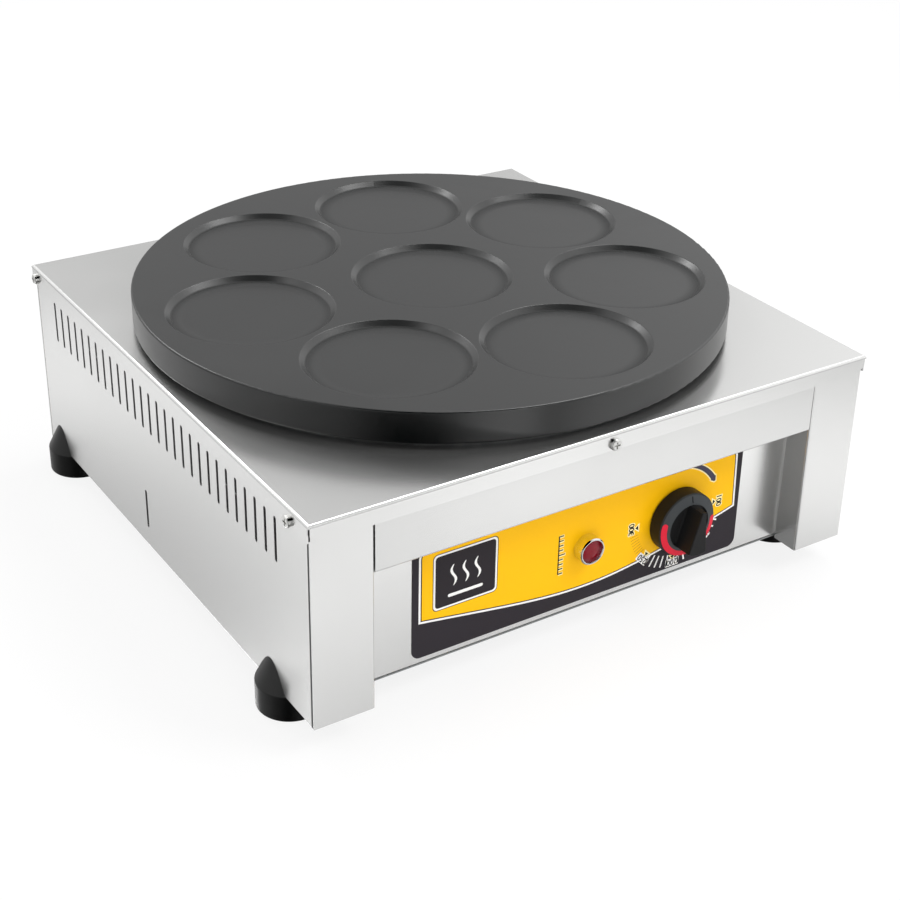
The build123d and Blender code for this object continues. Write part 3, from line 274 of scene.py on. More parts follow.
# finishes of the metal pieces
stainless = {
    "colour": "#E4E4E3",
    # painted light: the same steel is made lighter on the posts, the control panel and the side panels
    "postPaintedLight": "#EDEDEC",
    "panelPaintedLight": "#F8F8F7",
    "sidePaintedLight": "#ECECEB",
    "dull": 0.965,  # share of the colour that the darker scratches keep
    "metallic": 0.93,  # the rest is the grain's own scatter, which keeps dark images in it grey
    "roughness": 0.23,
    "smoother": 0.03,  # where it is wiped
    "rougher": 0.04,
    "anisotropy": 0.45,
    "grainLength": 60.0,  # along the brushing
    "grainWidth": 0.9,  # real scratches are about 0.1 mm wide, drawn coarser so that they show
    "grainDepth": 0.02,
    "wipesPerMetre": 9.0,
    "paintedEdgeLevel": 1.08,  # painted light: how much brighter the cover's turned-down edges are made than its face
}


def brushedStainless(name, along, across, colour=stainless["colour"], paintedEdgeLight=False):
    # 304 sheet, satin brushed in one direction: soft mirror images, drawn out across the grain
    material, tree, shader, place = newMaterial(name, {
        "Metallic": stainless["metallic"],
        "Roughness": stainless["roughness"],
        "Anisotropic": stainless["anisotropy"],
    })
    fine, long = 1 / (stainless["grainWidth"] * mm), 1 / (stainless["grainLength"] * mm)
    stretch = [long if axis == along else fine for axis in "XYZ"]
    grainPlace = addNode(tree, "ShaderNodeMapping", sockets={"Scale": stretch}, links={"Vector": place})
    grain = addNode(tree, "ShaderNodeTexNoise", sockets={"Scale": 1.0, "Detail": 3.0, "Roughness": 0.6},
                    links={"Vector": grainPlace.outputs[0]})
    wiping = addNode(tree, "ShaderNodeTexNoise",
                     sockets={"Scale": stainless["wipesPerMetre"], "Detail": 2.0}, links={"Vector": place})
    bright = linear(colour)
    dull = [c * stainless["dull"] for c in bright[:3]] + [1.0]
    tint = addNode(tree, "ShaderNodeMix", {"data_type": "RGBA"}, {6: dull, 7: bright},
                   {0: grain.outputs[0]})
    rough = addNode(tree, "ShaderNodeMapRange",
                    sockets={"From Min": 0.3, "From Max": 0.7,
                             "To Min": stainless["roughness"] - stainless["smoother"],
                             "To Max": stainless["roughness"] + stainless["rougher"]},
                    links={"Value": wiping.outputs[0]})
    relief = addNode(tree, "ShaderNodeBump",
                     sockets={"Strength": 0.025, "Distance": stainless["grainDepth"] * mm},
                     links={"Height": grain.outputs[0]})
    facing = addNode(tree, "ShaderNodeNewGeometry").outputs["Normal"]
    if paintedEdgeLight:  # painted light: the edges that the press turned down are made a little brighter than the face
        height = addNode(tree, "ShaderNodeSeparateXYZ", links={"Vector": facing})
        level = addNode(tree, "ShaderNodeMapRange",
                        sockets={"From Min": 0.05, "From Max": 0.4,
                                 "To Min": stainless["paintedEdgeLevel"], "To Max": 1.0},
                        links={"Value": height.outputs["Z"]})
        tint = addNode(tree, "ShaderNodeMix", {"data_type": "RGBA", "blend_type": "MULTIPLY"},
                       {0: 1.0}, {6: tint.outputs[2], 7: level.outputs[0]})
    # the brushing runs along one axis, and turns down with the fold on the faces square to it
    grainLine = addNode(tree, "ShaderNodeVectorMath", {"operation": "CROSS_PRODUCT"}, {1: across},
                        {0: facing})
    spare = [0.2 if axis == along else 0.0 for axis in "XYZ"]  # where the product above is nothing
    tangent = addNode(tree, "ShaderNodeVectorMath", {"operation": "ADD"}, {1: spare},
                      {0: grainLine.outputs[0]})
    link(tree, shader, {"Base Color": tint.outputs[2], "Roughness": rough.outputs[0],
                        "Normal": relief.outputs[0], "Tangent": tangent.outputs[0]})
    return material


plateFinish = {
    "colour": "#151616",
    "worn": "#1E1F1F",
    "ior": 1.65,
    "roughness": 0.31,
    "smoother": 0.035,
    "rougher": 0.04,
    "smudge": 70.0,
    "turning": 1.1,  # pitch of the turned rings, drawn coarser than the real 0.3 mm
    "turningDepth": 0.02,
    "pore": 0.9,
    "poreDepth": 0.03,
    "baked": 0.42,  # added roughness where baked oil gathers, at the foot of each pocket's wall
    "bakedIn": 9.0,  # how far that band reaches over the floor
    "bakedUp": 1.4,  # and up the wall
    "pocketFloor": 50.25,  # radius of a pocket's floor
    "pocketRing": 130.8,  # radius of the ring of pockets
    "pocketCount": 7,
    "pocketStart": 20.9,
}


def pocketDistance(tree, place):
    # distance from the middle of the nearest pocket, seen from above
    flat = addNode(tree, "ShaderNodeVectorMath", {"operation": "MULTIPLY"}, {1: (1, 1, 0)}, {0: place})
    middles = [Vector((0, 0, 0))]
    for i in range(plateFinish["pocketCount"]):
        angle = radians(plateFinish["pocketStart"] + 360 / plateFinish["pocketCount"] * i)
        middles.append(Vector((cos(angle), sin(angle), 0)) * plateFinish["pocketRing"] * mm)
    nearest = None
    for middle in middles:
        reach = addNode(tree, "ShaderNodeVectorMath", {"operation": "DISTANCE"}, {1: middle},
                        {0: flat.outputs[0]}).outputs["Value"]
        nearest = reach if nearest is None else addNode(
            tree, "ShaderNodeMath", {"operation": "MINIMUM"}, links={0: nearest, 1: reach}).outputs[0]
    return nearest


def seasonedCastIron():
    # turned cast iron, baked with oil: near black, silky sheen, faint rings and wiped smudges
    material, tree, shader, place = newMaterial("seasonedCastIron", {
        "Roughness": plateFinish["roughness"],
        "IOR": plateFinish["ior"],
    })
    smudge = addNode(tree, "ShaderNodeTexNoise",
                     sockets={"Scale": 1 / (plateFinish["smudge"] * mm), "Detail": 4.0, "Distortion": 0.8},
                     links={"Vector": place})
    rings = addNode(tree, "ShaderNodeTexWave", {"wave_type": "RINGS", "rings_direction": "Z"},
                    {"Scale": pi / (10 * plateFinish["turning"] * mm),  # at scale 1 a wave is pi / 10 long
                     "Distortion": 0.6, "Detail": 1.0, "Detail Scale": 0.4},
                    {"Vector": place})
    pores = addNode(tree, "ShaderNodeTexNoise",
                    sockets={"Scale": 1 / (plateFinish["pore"] * mm), "Detail": 3.0},
                    links={"Vector": place})
    tint = addNode(tree, "ShaderNodeMix", {"data_type": "RGBA"},
                   {6: linear(plateFinish["colour"]), 7: linear(plateFinish["worn"])},
                   {0: smudge.outputs[0]})
    rough = addNode(tree, "ShaderNodeMapRange",
                    sockets={"From Min": 0.3, "From Max": 0.7,
                             "To Min": plateFinish["roughness"] - plateFinish["smoother"],
                             "To Max": plateFinish["roughness"] + plateFinish["rougher"]},
                    links={"Value": smudge.outputs[0]})
    reach = pocketDistance(tree, place)
    floor = plateFinish["pocketFloor"] * mm
    foot = addNode(tree, "ShaderNodeMapRange", {"interpolation_type": "SMOOTHSTEP"},
                   {"From Min": floor - plateFinish["bakedIn"] * mm, "From Max": floor,
                    "To Max": plateFinish["baked"]},
                   {"Value": reach})
    wall = addNode(tree, "ShaderNodeMapRange",
                   sockets={"From Min": floor + plateFinish["bakedUp"] / 3 * mm,
                            "From Max": floor + plateFinish["bakedUp"] * mm,
                            "To Min": 1.0, "To Max": 0.0},
                   links={"Value": reach})
    rough = addNode(tree, "ShaderNodeMath", {"operation": "MULTIPLY_ADD"},
                    links={0: foot.outputs[0], 1: wall.outputs[0], 2: rough.outputs[0]})
    ringRelief = addNode(tree, "ShaderNodeBump",
                         sockets={"Strength": 0.10, "Distance": plateFinish["turningDepth"] * mm},
                         links={"Height": rings.outputs["Fac"]})
    relief = addNode(tree, "ShaderNodeBump",
                     sockets={"Strength": 0.12, "Distance": plateFinish["poreDepth"] * mm},
                     links={"Height": pores.outputs[0], "Normal": ringRelief.outputs[0]})
    link(tree, shader, {"Base Color": tint.outputs[2], "Roughness": rough.outputs[0],
                        "Normal": relief.outputs[0]})
    return material


def spreadTones(tree, shader, pattern, tone, otherTone, roughness=None):
    # the pattern leads from one colour to the other and, where given, from gloss to dullness
    tint = addNode(tree, "ShaderNodeMix", {"data_type": "RGBA"}, {6: tone, 7: otherTone}, {0: pattern})
    link(tree, shader, {"Base Color": tint.outputs[2]})
    if roughness:
        rough = addNode(tree, "ShaderNodeMapRange",
                        sockets={"To Min": roughness[0], "To Max": roughness[1]},
                        links={"Value": pattern})
        link(tree, shader, {"Roughness": rough.outputs[0]})


def zincSheet():
    # zinc-plated steel sheet: dull grey metal with faint crystals of the coating, 7 mm across
    material, tree, shader, place = newMaterial("zincPlatedSheet", {"Metallic": 1.0, "Roughness": 0.42})
    spangle = addNode(tree, "ShaderNodeTexVoronoi", sockets={"Scale": 1 / (7 * mm)},
                      links={"Vector": place})
    spreadTones(tree, shader, spangle.outputs["Color"], linear("#A9ACAE"), linear("#BDBFBF"),
                (0.36, 0.48))
    return material


def platedFasteners():
    # bright zinc-plated steel: cold rolled screws and nuts, light with glints of 1.5 mm
    material, tree, shader, place = newMaterial("brightPlatedSteel", {"Metallic": 1.0, "Roughness": 0.36})
    marks = addNode(tree, "ShaderNodeTexNoise", sockets={"Scale": 1 / (1.5 * mm), "Detail": 2.0},
                    links={"Vector": place})
    spreadTones(tree, shader, marks.outputs[0], linear("#E2E2DF"), linear("#F0F0EE"), (0.3, 0.42))
    return material


def temperedTube():
    # nickel-chrome sheath that has been hot: grey brown with straw and blue temper bands of 35 mm
    material, tree, shader, place = newMaterial("temperedHeaterSheath",
                                                {"Metallic": 1.0, "Roughness": 0.45})
    bands = addNode(tree, "ShaderNodeTexNoise", sockets={"Scale": 1 / (35 * mm), "Detail": 2.0},
                    links={"Vector": place})
    ramp = addNode(tree, "ShaderNodeValToRGB", links={0: bands.outputs[0]})
    for stop, position, colour in zip(ramp.color_ramp.elements, (0.35, 0.65), ("#6E6459", "#5A5D66")):
        stop.position = position
        stop.color = linear(colour)
    link(tree, shader, {"Base Color": ramp.outputs[0]})
    return material


def agedCopper():
    # drawn copper tube and sensor: warm metal with browner patches of 12 mm
    material, tree, shader, place = newMaterial("drawnCopper", {"Metallic": 1.0, "Roughness": 0.32})
    patches = addNode(tree, "ShaderNodeTexNoise", sockets={"Scale": 1 / (12 * mm), "Detail": 3.0},
                      links={"Vector": place})
    spreadTones(tree, shader, patches.outputs[0], linear("#A8663F"), linear("#D39A74"))
    return material


def polishedChrome():
    # chrome plating over a turned brass ring: a slightly hazed mirror with a faintly cool tone
    material, tree, shader, place = newMaterial("polishedChrome", {"Metallic": 1.0, "Roughness": 0.20})
    haze = addNode(tree, "ShaderNodeTexNoise", sockets={"Scale": 1 / (4 * mm), "Detail": 2.0},
                   links={"Vector": place})
    spreadTones(tree, shader, haze.outputs[0], linear("#E0E1E4"), linear("#EDEEF0"), (0.17, 0.24))
    return material


# finishes of plastic, rubber, ceramic and printed pieces
moulding = {
    "ior": 1.5,
    "lighter": (1.25, 0.0005),  # times the colour and on top of it, in the texture's bright spots
    "smoother": 0.04,
    "rougher": 0.06,
    "depth": 0.05,
}


def mouldedPlastic(name, colour, roughness, grain, relief, gloss=0.5):
    # a moulded or pressed piece: even colour under a fine mould texture that breaks up the gloss
    material, tree, shader, place = newMaterial(name, {
        "Roughness": roughness,
        "IOR": moulding["ior"],
        "Specular IOR Level": gloss,
    })
    texture = addNode(tree, "ShaderNodeTexNoise", sockets={"Scale": 1 / (grain * mm), "Detail": 4.0},
                      links={"Vector": place})
    dark = linear(colour)
    times, more = moulding["lighter"]
    light = [min(1.0, c * times + more) for c in dark[:3]] + [1.0]
    spreadTones(tree, shader, texture.outputs[0], dark, light,
                (roughness - moulding["smoother"], roughness + moulding["rougher"]))
    bumps = addNode(tree, "ShaderNodeBump",
                    sockets={"Strength": relief, "Distance": moulding["depth"] * mm},
                    links={"Height": texture.outputs[0]})
    link(tree, shader, {"Normal": bumps.outputs[0]})
    return material


knobFinish = {
    "sides": "#1A1A1B",
    "ring": "#3E4143",
    "recess": 15.2,  # radius where the recess of the face ends and the painted sheen begins
    "fade": 0.5,
}


def phenolicKnob():
    # pressed phenolic: dull black sides and grip; a painted sheen makes the face round the recess paler where it
    # faces the front
    material = mouldedPlastic("mouldedPhenolic", knobFinish["sides"], 0.45, grain=0.6, relief=0.10,
                              gloss=0.18)
    tree = material.node_tree
    colour = tree.nodes["Principled BSDF"].inputs["Base Color"]
    low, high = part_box("thermostat_shaft")
    axis = ((low.x + high.x) / 2, 0, (low.z + high.z) / 2)
    place = addNode(tree, "ShaderNodeTexCoord")
    flat = addNode(tree, "ShaderNodeVectorMath", {"operation": "MULTIPLY"}, {1: (1, 0, 1)},
                   {0: place.outputs["Object"]})
    reach = addNode(tree, "ShaderNodeVectorMath", {"operation": "DISTANCE"}, {1: axis},
                    {0: flat.outputs[0]})
    # painted sheen: beyond the recess, the faces turned to the front are made paler
    beyond = addNode(tree, "ShaderNodeMapRange",
                     sockets={"From Min": knobFinish["recess"] * mm,
                              "From Max": (knobFinish["recess"] + knobFinish["fade"]) * mm},
                     links={"Value": reach.outputs["Value"]})
    normal = addNode(tree, "ShaderNodeSeparateXYZ", links={"Vector": place.outputs["Normal"]})
    facing = addNode(tree, "ShaderNodeMapRange", sockets={"From Min": -0.55, "From Max": -0.9},
                     links={"Value": normal.outputs["Y"]})
    ring = addNode(tree, "ShaderNodeMath", {"operation": "MULTIPLY"},
                   links={0: beyond.outputs[0], 1: facing.outputs[0]})
    tint = addNode(tree, "ShaderNodeMix", {"data_type": "RGBA"}, {7: linear(knobFinish["ring"])},
                   {0: ring.outputs[0], 6: colour.links[0].from_socket})
    tree.links.new(tint.outputs[2], colour)
    return material


rubberFinish = {"colour": "#060606", "paintedTopSheen": "#2C2C2C"}


def mouldedRubber():
    # moulded black rubber: dark satin, with a painted grey sheen, as of light from above, on what looks up
    material = mouldedPlastic("mouldedRubber", rubberFinish["colour"], 0.34, grain=0.7, relief=0.22,
                              gloss=0.22)
    tree = material.node_tree
    colour = tree.nodes["Principled BSDF"].inputs["Base Color"]
    # painted sheen: faces that look up are made grey
    facing = addNode(tree, "ShaderNodeNewGeometry")
    normal = addNode(tree, "ShaderNodeSeparateXYZ", links={"Vector": facing.outputs["Normal"]})
    paintedTopSheen = addNode(tree, "ShaderNodeMapRange", sockets={"From Min": 0.08, "From Max": 0.35},
                    links={"Value": normal.outputs["Z"]})
    tint = addNode(tree, "ShaderNodeMix", {"data_type": "RGBA"}, {7: linear(rubberFinish["paintedTopSheen"])},
                   {0: paintedTopSheen.outputs[0], 6: colour.links[0].from_socket})
    tree.links.new(tint.outputs[2], colour)
    return material


def redLens():
    # transparent red polycarbonate: deep crimson, cloudy over 6 mm, that lets some light through
    material, tree, shader, place = newMaterial("redPolycarbonate", {
        "Roughness": 0.2,
        "IOR": 1.5,
        "Transmission Weight": 0.25,
        "Specular IOR Level": 0.35,
    })
    cloud = addNode(tree, "ShaderNodeTexNoise", sockets={"Scale": 1 / (6 * mm)}, links={"Vector": place})
    spreadTones(tree, shader, cloud.outputs[0], linear("#7A0016"), linear("#9C0820"))
    return material


def fibreBoard():
    # pressed ceramic fibre: soft off-white felt without any gloss, in tufts of 2 mm
    material, tree, shader, place = newMaterial("ceramicFibreBoard", {"Roughness": 0.95})
    fibres = addNode(tree, "ShaderNodeTexNoise",
                     sockets={"Scale": 1 / (2 * mm), "Detail": 6.0, "Distortion": 2.0},
                     links={"Vector": place})
    spreadTones(tree, shader, fibres.outputs[0], linear("#D6CDB8"), linear("#EBE5D6"))
    relief = addNode(tree, "ShaderNodeBump", sockets={"Strength": 0.6, "Distance": 0.4 * mm},
                     links={"Height": fibres.outputs[0]})
    link(tree, shader, {"Normal": relief.outputs[0]})
    return material


film = {
    "ior": 1.5,
    "gloss": 0.12,
    "thin": 0.97,  # share of the ink's colour where it lies thinner
    "peel": 1.2,
    "peelDepth": 0.03,
}


def printedInk(name, colour, roughness=0.36):
    # screen-printed ink on polyester film: flat, even colour with the film's slight orange peel
    material, tree, shader, place = newMaterial(name, {
        "Roughness": roughness,
        "IOR": film["ior"],
        "Specular IOR Level": film["gloss"],
    })
    peel = addNode(tree, "ShaderNodeTexNoise",
                   sockets={"Scale": 1 / (film["peel"] * mm), "Detail": 1.0}, links={"Vector": place})
    full = linear(colour)
    thin = [c * film["thin"] for c in full[:3]] + [1.0]
    spreadTones(tree, shader, peel.outputs[0], thin, full)
    relief = addNode(tree, "ShaderNodeBump",
                     sockets={"Strength": 0.05, "Distance": film["peelDepth"] * mm},
                     links={"Height": peel.outputs[0]})
    link(tree, shader, {"Normal": relief.outputs[0]})
    return material


steelAlongY = brushedStainless("brushedStainlessDeep", "Y", (0, 0, 1), stainless["sidePaintedLight"])
steelAlongZ = brushedStainless("brushedStainlessUpright", "Z", (1, 0, 0), stainless["postPaintedLight"])

slotFinish = {
    "stainless": brushedStainless("brushedStainlessAcross", "X", (0, 1, 0)),
    "zinc_sheet": zincSheet(),
    "cast_plate": seasonedCastIron(),
    "fasteners": platedFasteners(),
    "heating_tube": temperedTube(),
    "ceramic": mouldedPlastic("steatiteCeramic", "#CFC9BA", 0.62, grain=0.8, relief=0.25),
    "fibre_board": fibreBoard(),
    "copper": agedCopper(),
    "foot_rubber": mouldedRubber(),
    "knob_plastic": phenolicKnob(),
    "black_plastic": mouldedPlastic("mouldedPolyamide", "#17181A", 0.50, grain=0.8, relief=0.25),
    "label_film": printedInk("charcoalFilm", "#322E33", 0.40),
    "chrome_trim": polishedChrome(),
    "red_lens": redLens(),
}
# pieces whose sheet is brushed another way than its slot's, or that carry painted light: a lighter tone, or
# brighter turned-down edges
nodeFinish = {
    "top_cover": brushedStainless("brushedStainlessCover", "X", (0, 1, 0), paintedEdgeLight=True),
    "control_panel": brushedStainless("brushedStainlessPanel", "X", (0, 1, 0), stainless["panelPaintedLight"]),
    "left_side_panel": steelAlongY,
    "right_side_panel": steelAlongY,
    "left_post": steelAlongZ,
    "right_post": steelAlongZ,
}


def finishNodes():
    for part in frame["record"]["subparts"]:
        node = frame["nodes"][part["node"]]
        node.data.materials.clear()
        node.data.materials.append(nodeFinish.get(part["node"], slotFinish[part["material_slot"]]))


finishNodes()
print("finishes on", len(frame["nodes"]), "nodes")


# painted shadow: black strips in the grooves between the posts and the side panels, and in the cover's corners,
# where there is only shade
grooveShadow = {
    "sheet": 1.0,  # thickness of the posts and the cover
    "sunk": 0.25,  # below the side face
    "depth": 3.0,
    "play": 0.05,  # to the post's sheet
    "lap": 1.3,  # on the round fold of the side panel
    "edge": 0.5,  # radius of the strip's upright edges
    "edgeSteps": 4,
    "coverSeam": 0.8,  # width of the strip behind an open corner of the cover
    "coverPlay": 0.1,
    "coverLow": 10.5,  # its lower and upper end, below the top of the cover
    "coverHigh": 1.6,
}


def makeShadowStrip(name, low, high, face):
    # black strip of painted shadow from one corner to the other, rounded along its upright edges at the x of its
    # face
    mesh = bmesh.new()
    corners = bmesh.ops.create_cube(mesh, size=1.0)["verts"]
    bmesh.ops.scale(mesh, vec=high - low, verts=corners)
    bmesh.ops.translate(mesh, vec=(low + high) / 2, verts=corners)
    close = 0.01 * mm
    rims = [edge for edge in mesh.edges if all(abs(end.co.x - face) < close for end in edge.verts)
            and abs(edge.verts[0].co.y - edge.verts[1].co.y) < close]
    bmesh.ops.bevel(mesh, geom=rims, offset=grooveShadow["edge"] * mm, offset_type="OFFSET",
                    segments=grooveShadow["edgeSteps"], profile=0.5, affect="EDGES", material=-1)
    finishPiece(name, mesh, slotFinish["foot_rubber"], "housing")


def makeGrooveShadows():
    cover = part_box("top_cover")
    top, size = cover[1].z, grooveShadow["coverSeam"] * mm
    gap = (grooveShadow["coverPlay"] + grooveShadow["sheet"]) * mm
    for side, outward in (("left", -1), ("right", 1)):
        post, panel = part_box(side + "_post"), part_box(side + "_side_panel")
        face = (post[0].x if outward < 0 else post[1].x) - outward * grooveShadow["sunk"] * mm
        inner = face - outward * grooveShadow["depth"] * mm
        front = post[0].y + (grooveShadow["sheet"] + grooveShadow["play"]) * mm
        rear = panel[0].y + grooveShadow["lap"] * mm
        makeShadowStrip(side + "_groove_shadow", Vector((min(face, inner), front, post[0].z)),
                 Vector((max(face, inner), rear, post[1].z)), face)
        # behind the open corners of the cover, in the play between its edges and the body
        for end, forward, edgeY in (("front", 1, cover[0].y), ("rear", -1, cover[1].y)):
            x = (cover[0].x if outward < 0 else cover[1].x) - outward * gap
            y = edgeY + forward * gap
            xs, ys = sorted((x, x - outward * size)), sorted((y, y + forward * size))
            makeShadowStrip("cover_seam_shadow_" + end + "_" + side,
                     Vector((xs[0], ys[0], top - grooveShadow["coverLow"] * mm)),
                     Vector((xs[1], ys[1], top - grooveShadow["coverHigh"] * mm)), x)


makeGrooveShadows()
print("corner grooves shadowed")


# printing on the control label
inks = {
    "yellow": printedInk("inkYellow", "#FFC10C"),
    "white": printedInk("inkWhite", "#F4F3F1"),
    "charcoal": printedInk("inkCharcoal", "#2E2A2E"),
    "black": printedInk("inkBlack", "#17161A"),
    "cream": printedInk("inkCream", "#FFF0B4"),
    "plum": printedInk("inkPlum", "#4A4658"),
    "amber": printedInk("inkAmber", "#BE8420"),
}

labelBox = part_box("control_label")
labelFront = labelBox[0].y
layer = 0.03  # thickness of one printed layer

# x, z and height above the film become a place in front of the label
labelPlace = Matrix(((1, 0, 0, 0), (0, 0, -1, labelFront), (0, 1, 0, 0), (0, 0, 0, 1)))


def arcPoints(x, z, radius, first, last, count):
    # points on an arc; angles run anticlockwise from the right
    step = radians(last - first) / count
    return [(x + radius * cos(radians(first) + step * i), z + radius * sin(radians(first) + step * i))
            for i in range(count + 1)]


def roundedBox(left, right, low, high, radius, steps=6):
    return (arcPoints(left + radius, low + radius, radius, 180, 270, steps)
            + arcPoints(right - radius, low + radius, radius, 270, 360, steps)
            + arcPoints(right - radius, high - radius, radius, 0, 90, steps)
            + arcPoints(left + radius, high - radius, radius, 90, 180, steps))


def addPlate(mesh, outline, height, place=labelPlace):
    # a flat shape that stands out from the film by its height
    corners = [mesh.verts.new((u * mm, v * mm, 0)) for u, v in outline]
    face = mesh.faces.new(corners)
    raised = bmesh.ops.extrude_face_region(mesh, geom=[face])["geom"]
    crown = [part for part in raised if isinstance(part, bmesh.types.BMVert)]
    bmesh.ops.translate(mesh, vec=(0, 0, height * mm), verts=crown)
    bmesh.ops.transform(mesh, matrix=place, verts=corners + crown)


def printPlates(name, outlines, height, ink):
    mesh = bmesh.new()
    for outline in outlines:
        addPlate(mesh, outline, height)
    finishPiece(name, mesh, inks[ink], "housing")


# the yellow field of the label; all of the print is placed by x and z in the shared frame
field = {
    "left": -120.2,
    "right": 121.6,
    "lean": 1.2,  # how much further in the right edge is at its top
    "top": 98.0,
    "corner": 4.0,
    "cornerSteps": 8,
    # the lower edge is a long shallow curve that runs on past both sides
    "lowerCurve": ((-126.0, 51.9), (-11.0, 34.2), (2.0, 24.4), (127.5, 59.0)),
    "curveSteps": 60,
    "hairline": 0.75,  # outer edge of the dark line, past the yellow
    "whiteLine": 2.15,  # and of the white one
}


def lowerEdge(grow):
    # the lower curve, moved out by grow and cut off at both sides of the field
    line = interpolate_bezier(*[Vector(point) for point in field["lowerCurve"]], field["curveSteps"])
    moved = []
    for i, point in enumerate(line):
        ahead = line[min(i + 1, len(line) - 1)] - line[max(i - 1, 0)]
        moved.append(point + Vector((ahead.y, -ahead.x)).normalized() * grow)
    left, right = field["left"] - grow, field["right"] + grow
    cut = []
    for a, b in zip(moved, moved[1:]):
        cut += [a.lerp(b, (x - a.x) / (b.x - a.x)) for x in (left, right) if a.x <= x < b.x]
        cut += [b] if left < b.x < right else []
    return [(point.x, point.y) for point in cut]


def fieldOutline(grow):
    left, right = field["left"] - grow, field["right"] + grow - field["lean"]
    top, corner, steps = field["top"] + grow, field["corner"] + grow, field["cornerSteps"]
    return (lowerEdge(grow)
            + arcPoints(right - corner, top - corner, corner, 0, 90, steps)
            + arcPoints(left + corner, top - corner, corner, 90, 180, steps))


printPlates("field_line", [fieldOutline(field["whiteLine"])], layer, "white")
printPlates("field_hairline", [fieldOutline(field["hairline"])], 2 * layer, "charcoal")
printPlates("field_yellow", [fieldOutline(0)], 3 * layer, "yellow")

badge = {
    "left": -112.2,
    "right": -66.7,
    "low": 54.5,
    "high": 93.6,
    "radius": 3.0,
    "rim": 1.3,
    "hairline": 0.5,
    "waves": 3,
    "wavePitch": 8.6,
    "waveHeight": 15.0,
    "waveSwing": 1.6,
    "waveWidth": 1.9,
    "waveTaper": 0.75,  # how much of its width is gone at its ends
    "waveSteps": 28,
    "waveLift": 2.4,  # above the middle of the badge
    "bar": (25.0, 2.2),  # the hot plate under the waves
    "barDrop": 11.5,  # below the middle of the badge
}


def badgeOutline(inset):
    return roundedBox(badge["left"] + inset, badge["right"] - inset,
                      badge["low"] + inset, badge["high"] - inset, badge["radius"] - inset / 2)


def waveOutline(x, z):
    # one wavy line of rising heat, thinner at its ends
    rows = []
    for i in range(badge["waveSteps"] + 1):
        t = i / badge["waveSteps"]
        swing = badge["waveSwing"] * sin(2 * pi * t)
        half = badge["waveWidth"] / 2 * (1 - badge["waveTaper"] * abs(2 * t - 1) ** 3)
        rows.append((x + swing, z + badge["waveHeight"] * (t - 0.5), half))
    return [(u - half, v) for u, v, half in rows] + [(u + half, v) for u, v, half in reversed(rows)]


def makeBadge():
    # plain plate in the label's corner with the usual sign for heat: a hot plate and rising waves
    printPlates("badge_hairline", [badgeOutline(-badge["hairline"])], 4 * layer, "charcoal")
    printPlates("badge_rim", [badgeOutline(0)], 5 * layer, "white")
    printPlates("badge_ground", [badgeOutline(badge["rim"])], 6 * layer, "charcoal")
    x = (badge["left"] + badge["right"]) / 2
    z = (badge["low"] + badge["high"]) / 2
    middle = (badge["waves"] - 1) / 2
    signs = [waveOutline(x + (i - middle) * badge["wavePitch"], z + badge["waveLift"])
             for i in range(badge["waves"])]
    length, height = badge["bar"]
    barZ = z - badge["barDrop"]
    # the bar's ends are just short of half circles, so that no two of its corners fall together
    signs.append(roundedBox(x - length / 2, x + length / 2, barZ - height / 2, barZ + height / 2,
                            height / 2.01))
    printPlates("badge_heat_sign", signs, 7 * layer, "white")


makeBadge()

heatScale = {
    "x": -20.5,
    "low": 50.2,
    "high": 77.6,
    "ticks": 9,
    "tickLength": 3.4,
    "middleLength": 5.0,
    "line": 0.85,
    "halo": 0.4,
}


def makeHeatScale():
    # a plain upright scale beside the lamp
    low, high = heatScale["low"], heatScale["high"]
    x, half, halo = heatScale["x"], heatScale["line"] / 2, heatScale["halo"]
    dark = [[(x - half, low - half), (x + half, low - half),
             (x + half, high + half), (x - half, high + half)]]
    lap = 0.01  # the halo's upright reaches this far into those of the ticks
    pale = [roundedBox(x - half, x + half + lap, low - half, high + half, half * 0.9)]
    for i in range(heatScale["ticks"]):
        z = low + (high - low) * i / (heatScale["ticks"] - 1)
        length = heatScale["middleLength"] if i == heatScale["ticks"] // 2 else heatScale["tickLength"]
        dark.append([(x + half, z - half), (x + length, z - half),
                     (x + length, z + half), (x + half, z + half)])
        below = z - half - halo * 2  # the halo is wider under each tick
        pale.append([(x + half, below), (x + length + halo, below),
                     (x + length + halo, z + half + halo), (x + half, z + half + halo)])
    printPlates("heat_scale_halo", pale, 4 * layer, "cream")
    printPlates("heat_scale_lines", dark, 5 * layer, "black")


makeHeatScale()
print("label printed")


knobAxis = next(joint for joint in frame["joints"] if joint["name"] == "knob_turn")["pos_m"]
knobX, knobZ = knobAxis[0] / mm, knobAxis[2] / mm
dial = {
    "x": knobX - 0.6,  # printed a little off the shaft
    "z": knobZ + 2.2,
    "numbers": {"300": 270, "250": 225, "200": 180, "150": 135, "100": 90},  # clockwise from the top
    "numberRadius": 36.2,  # middle of the digits
    "numberSize": 6.0,
    "numberWeight": 0.10,  # how much the strokes grow to each side
    "numberHalo": 0.75,
    "plainBox": (11.0, 5.8),  # white box behind the numbers that reach over the dark ground
    "plainBoxRadius": 0.6,
    "boxed": ("250", "200", "150"),
    "tipRadius": 33.2,
    "triangle": (3.7, 2.1),
    "triangleHalo": (1.5, 1.0, 1.6),  # beside the triangle, at its foot and past its tip
}


def dialPlace(angle, radius):
    # a place on the dial: u runs clockwise, v outwards
    a = radians(angle)
    return Matrix(((cos(a), sin(a), 0, (dial["x"] + radius * sin(a)) * mm),
                   (0, 0, -1, labelFront),
                   (-sin(a), cos(a), 0, (dial["z"] + radius * cos(a)) * mm),
                   (0, 0, 0, 1)))


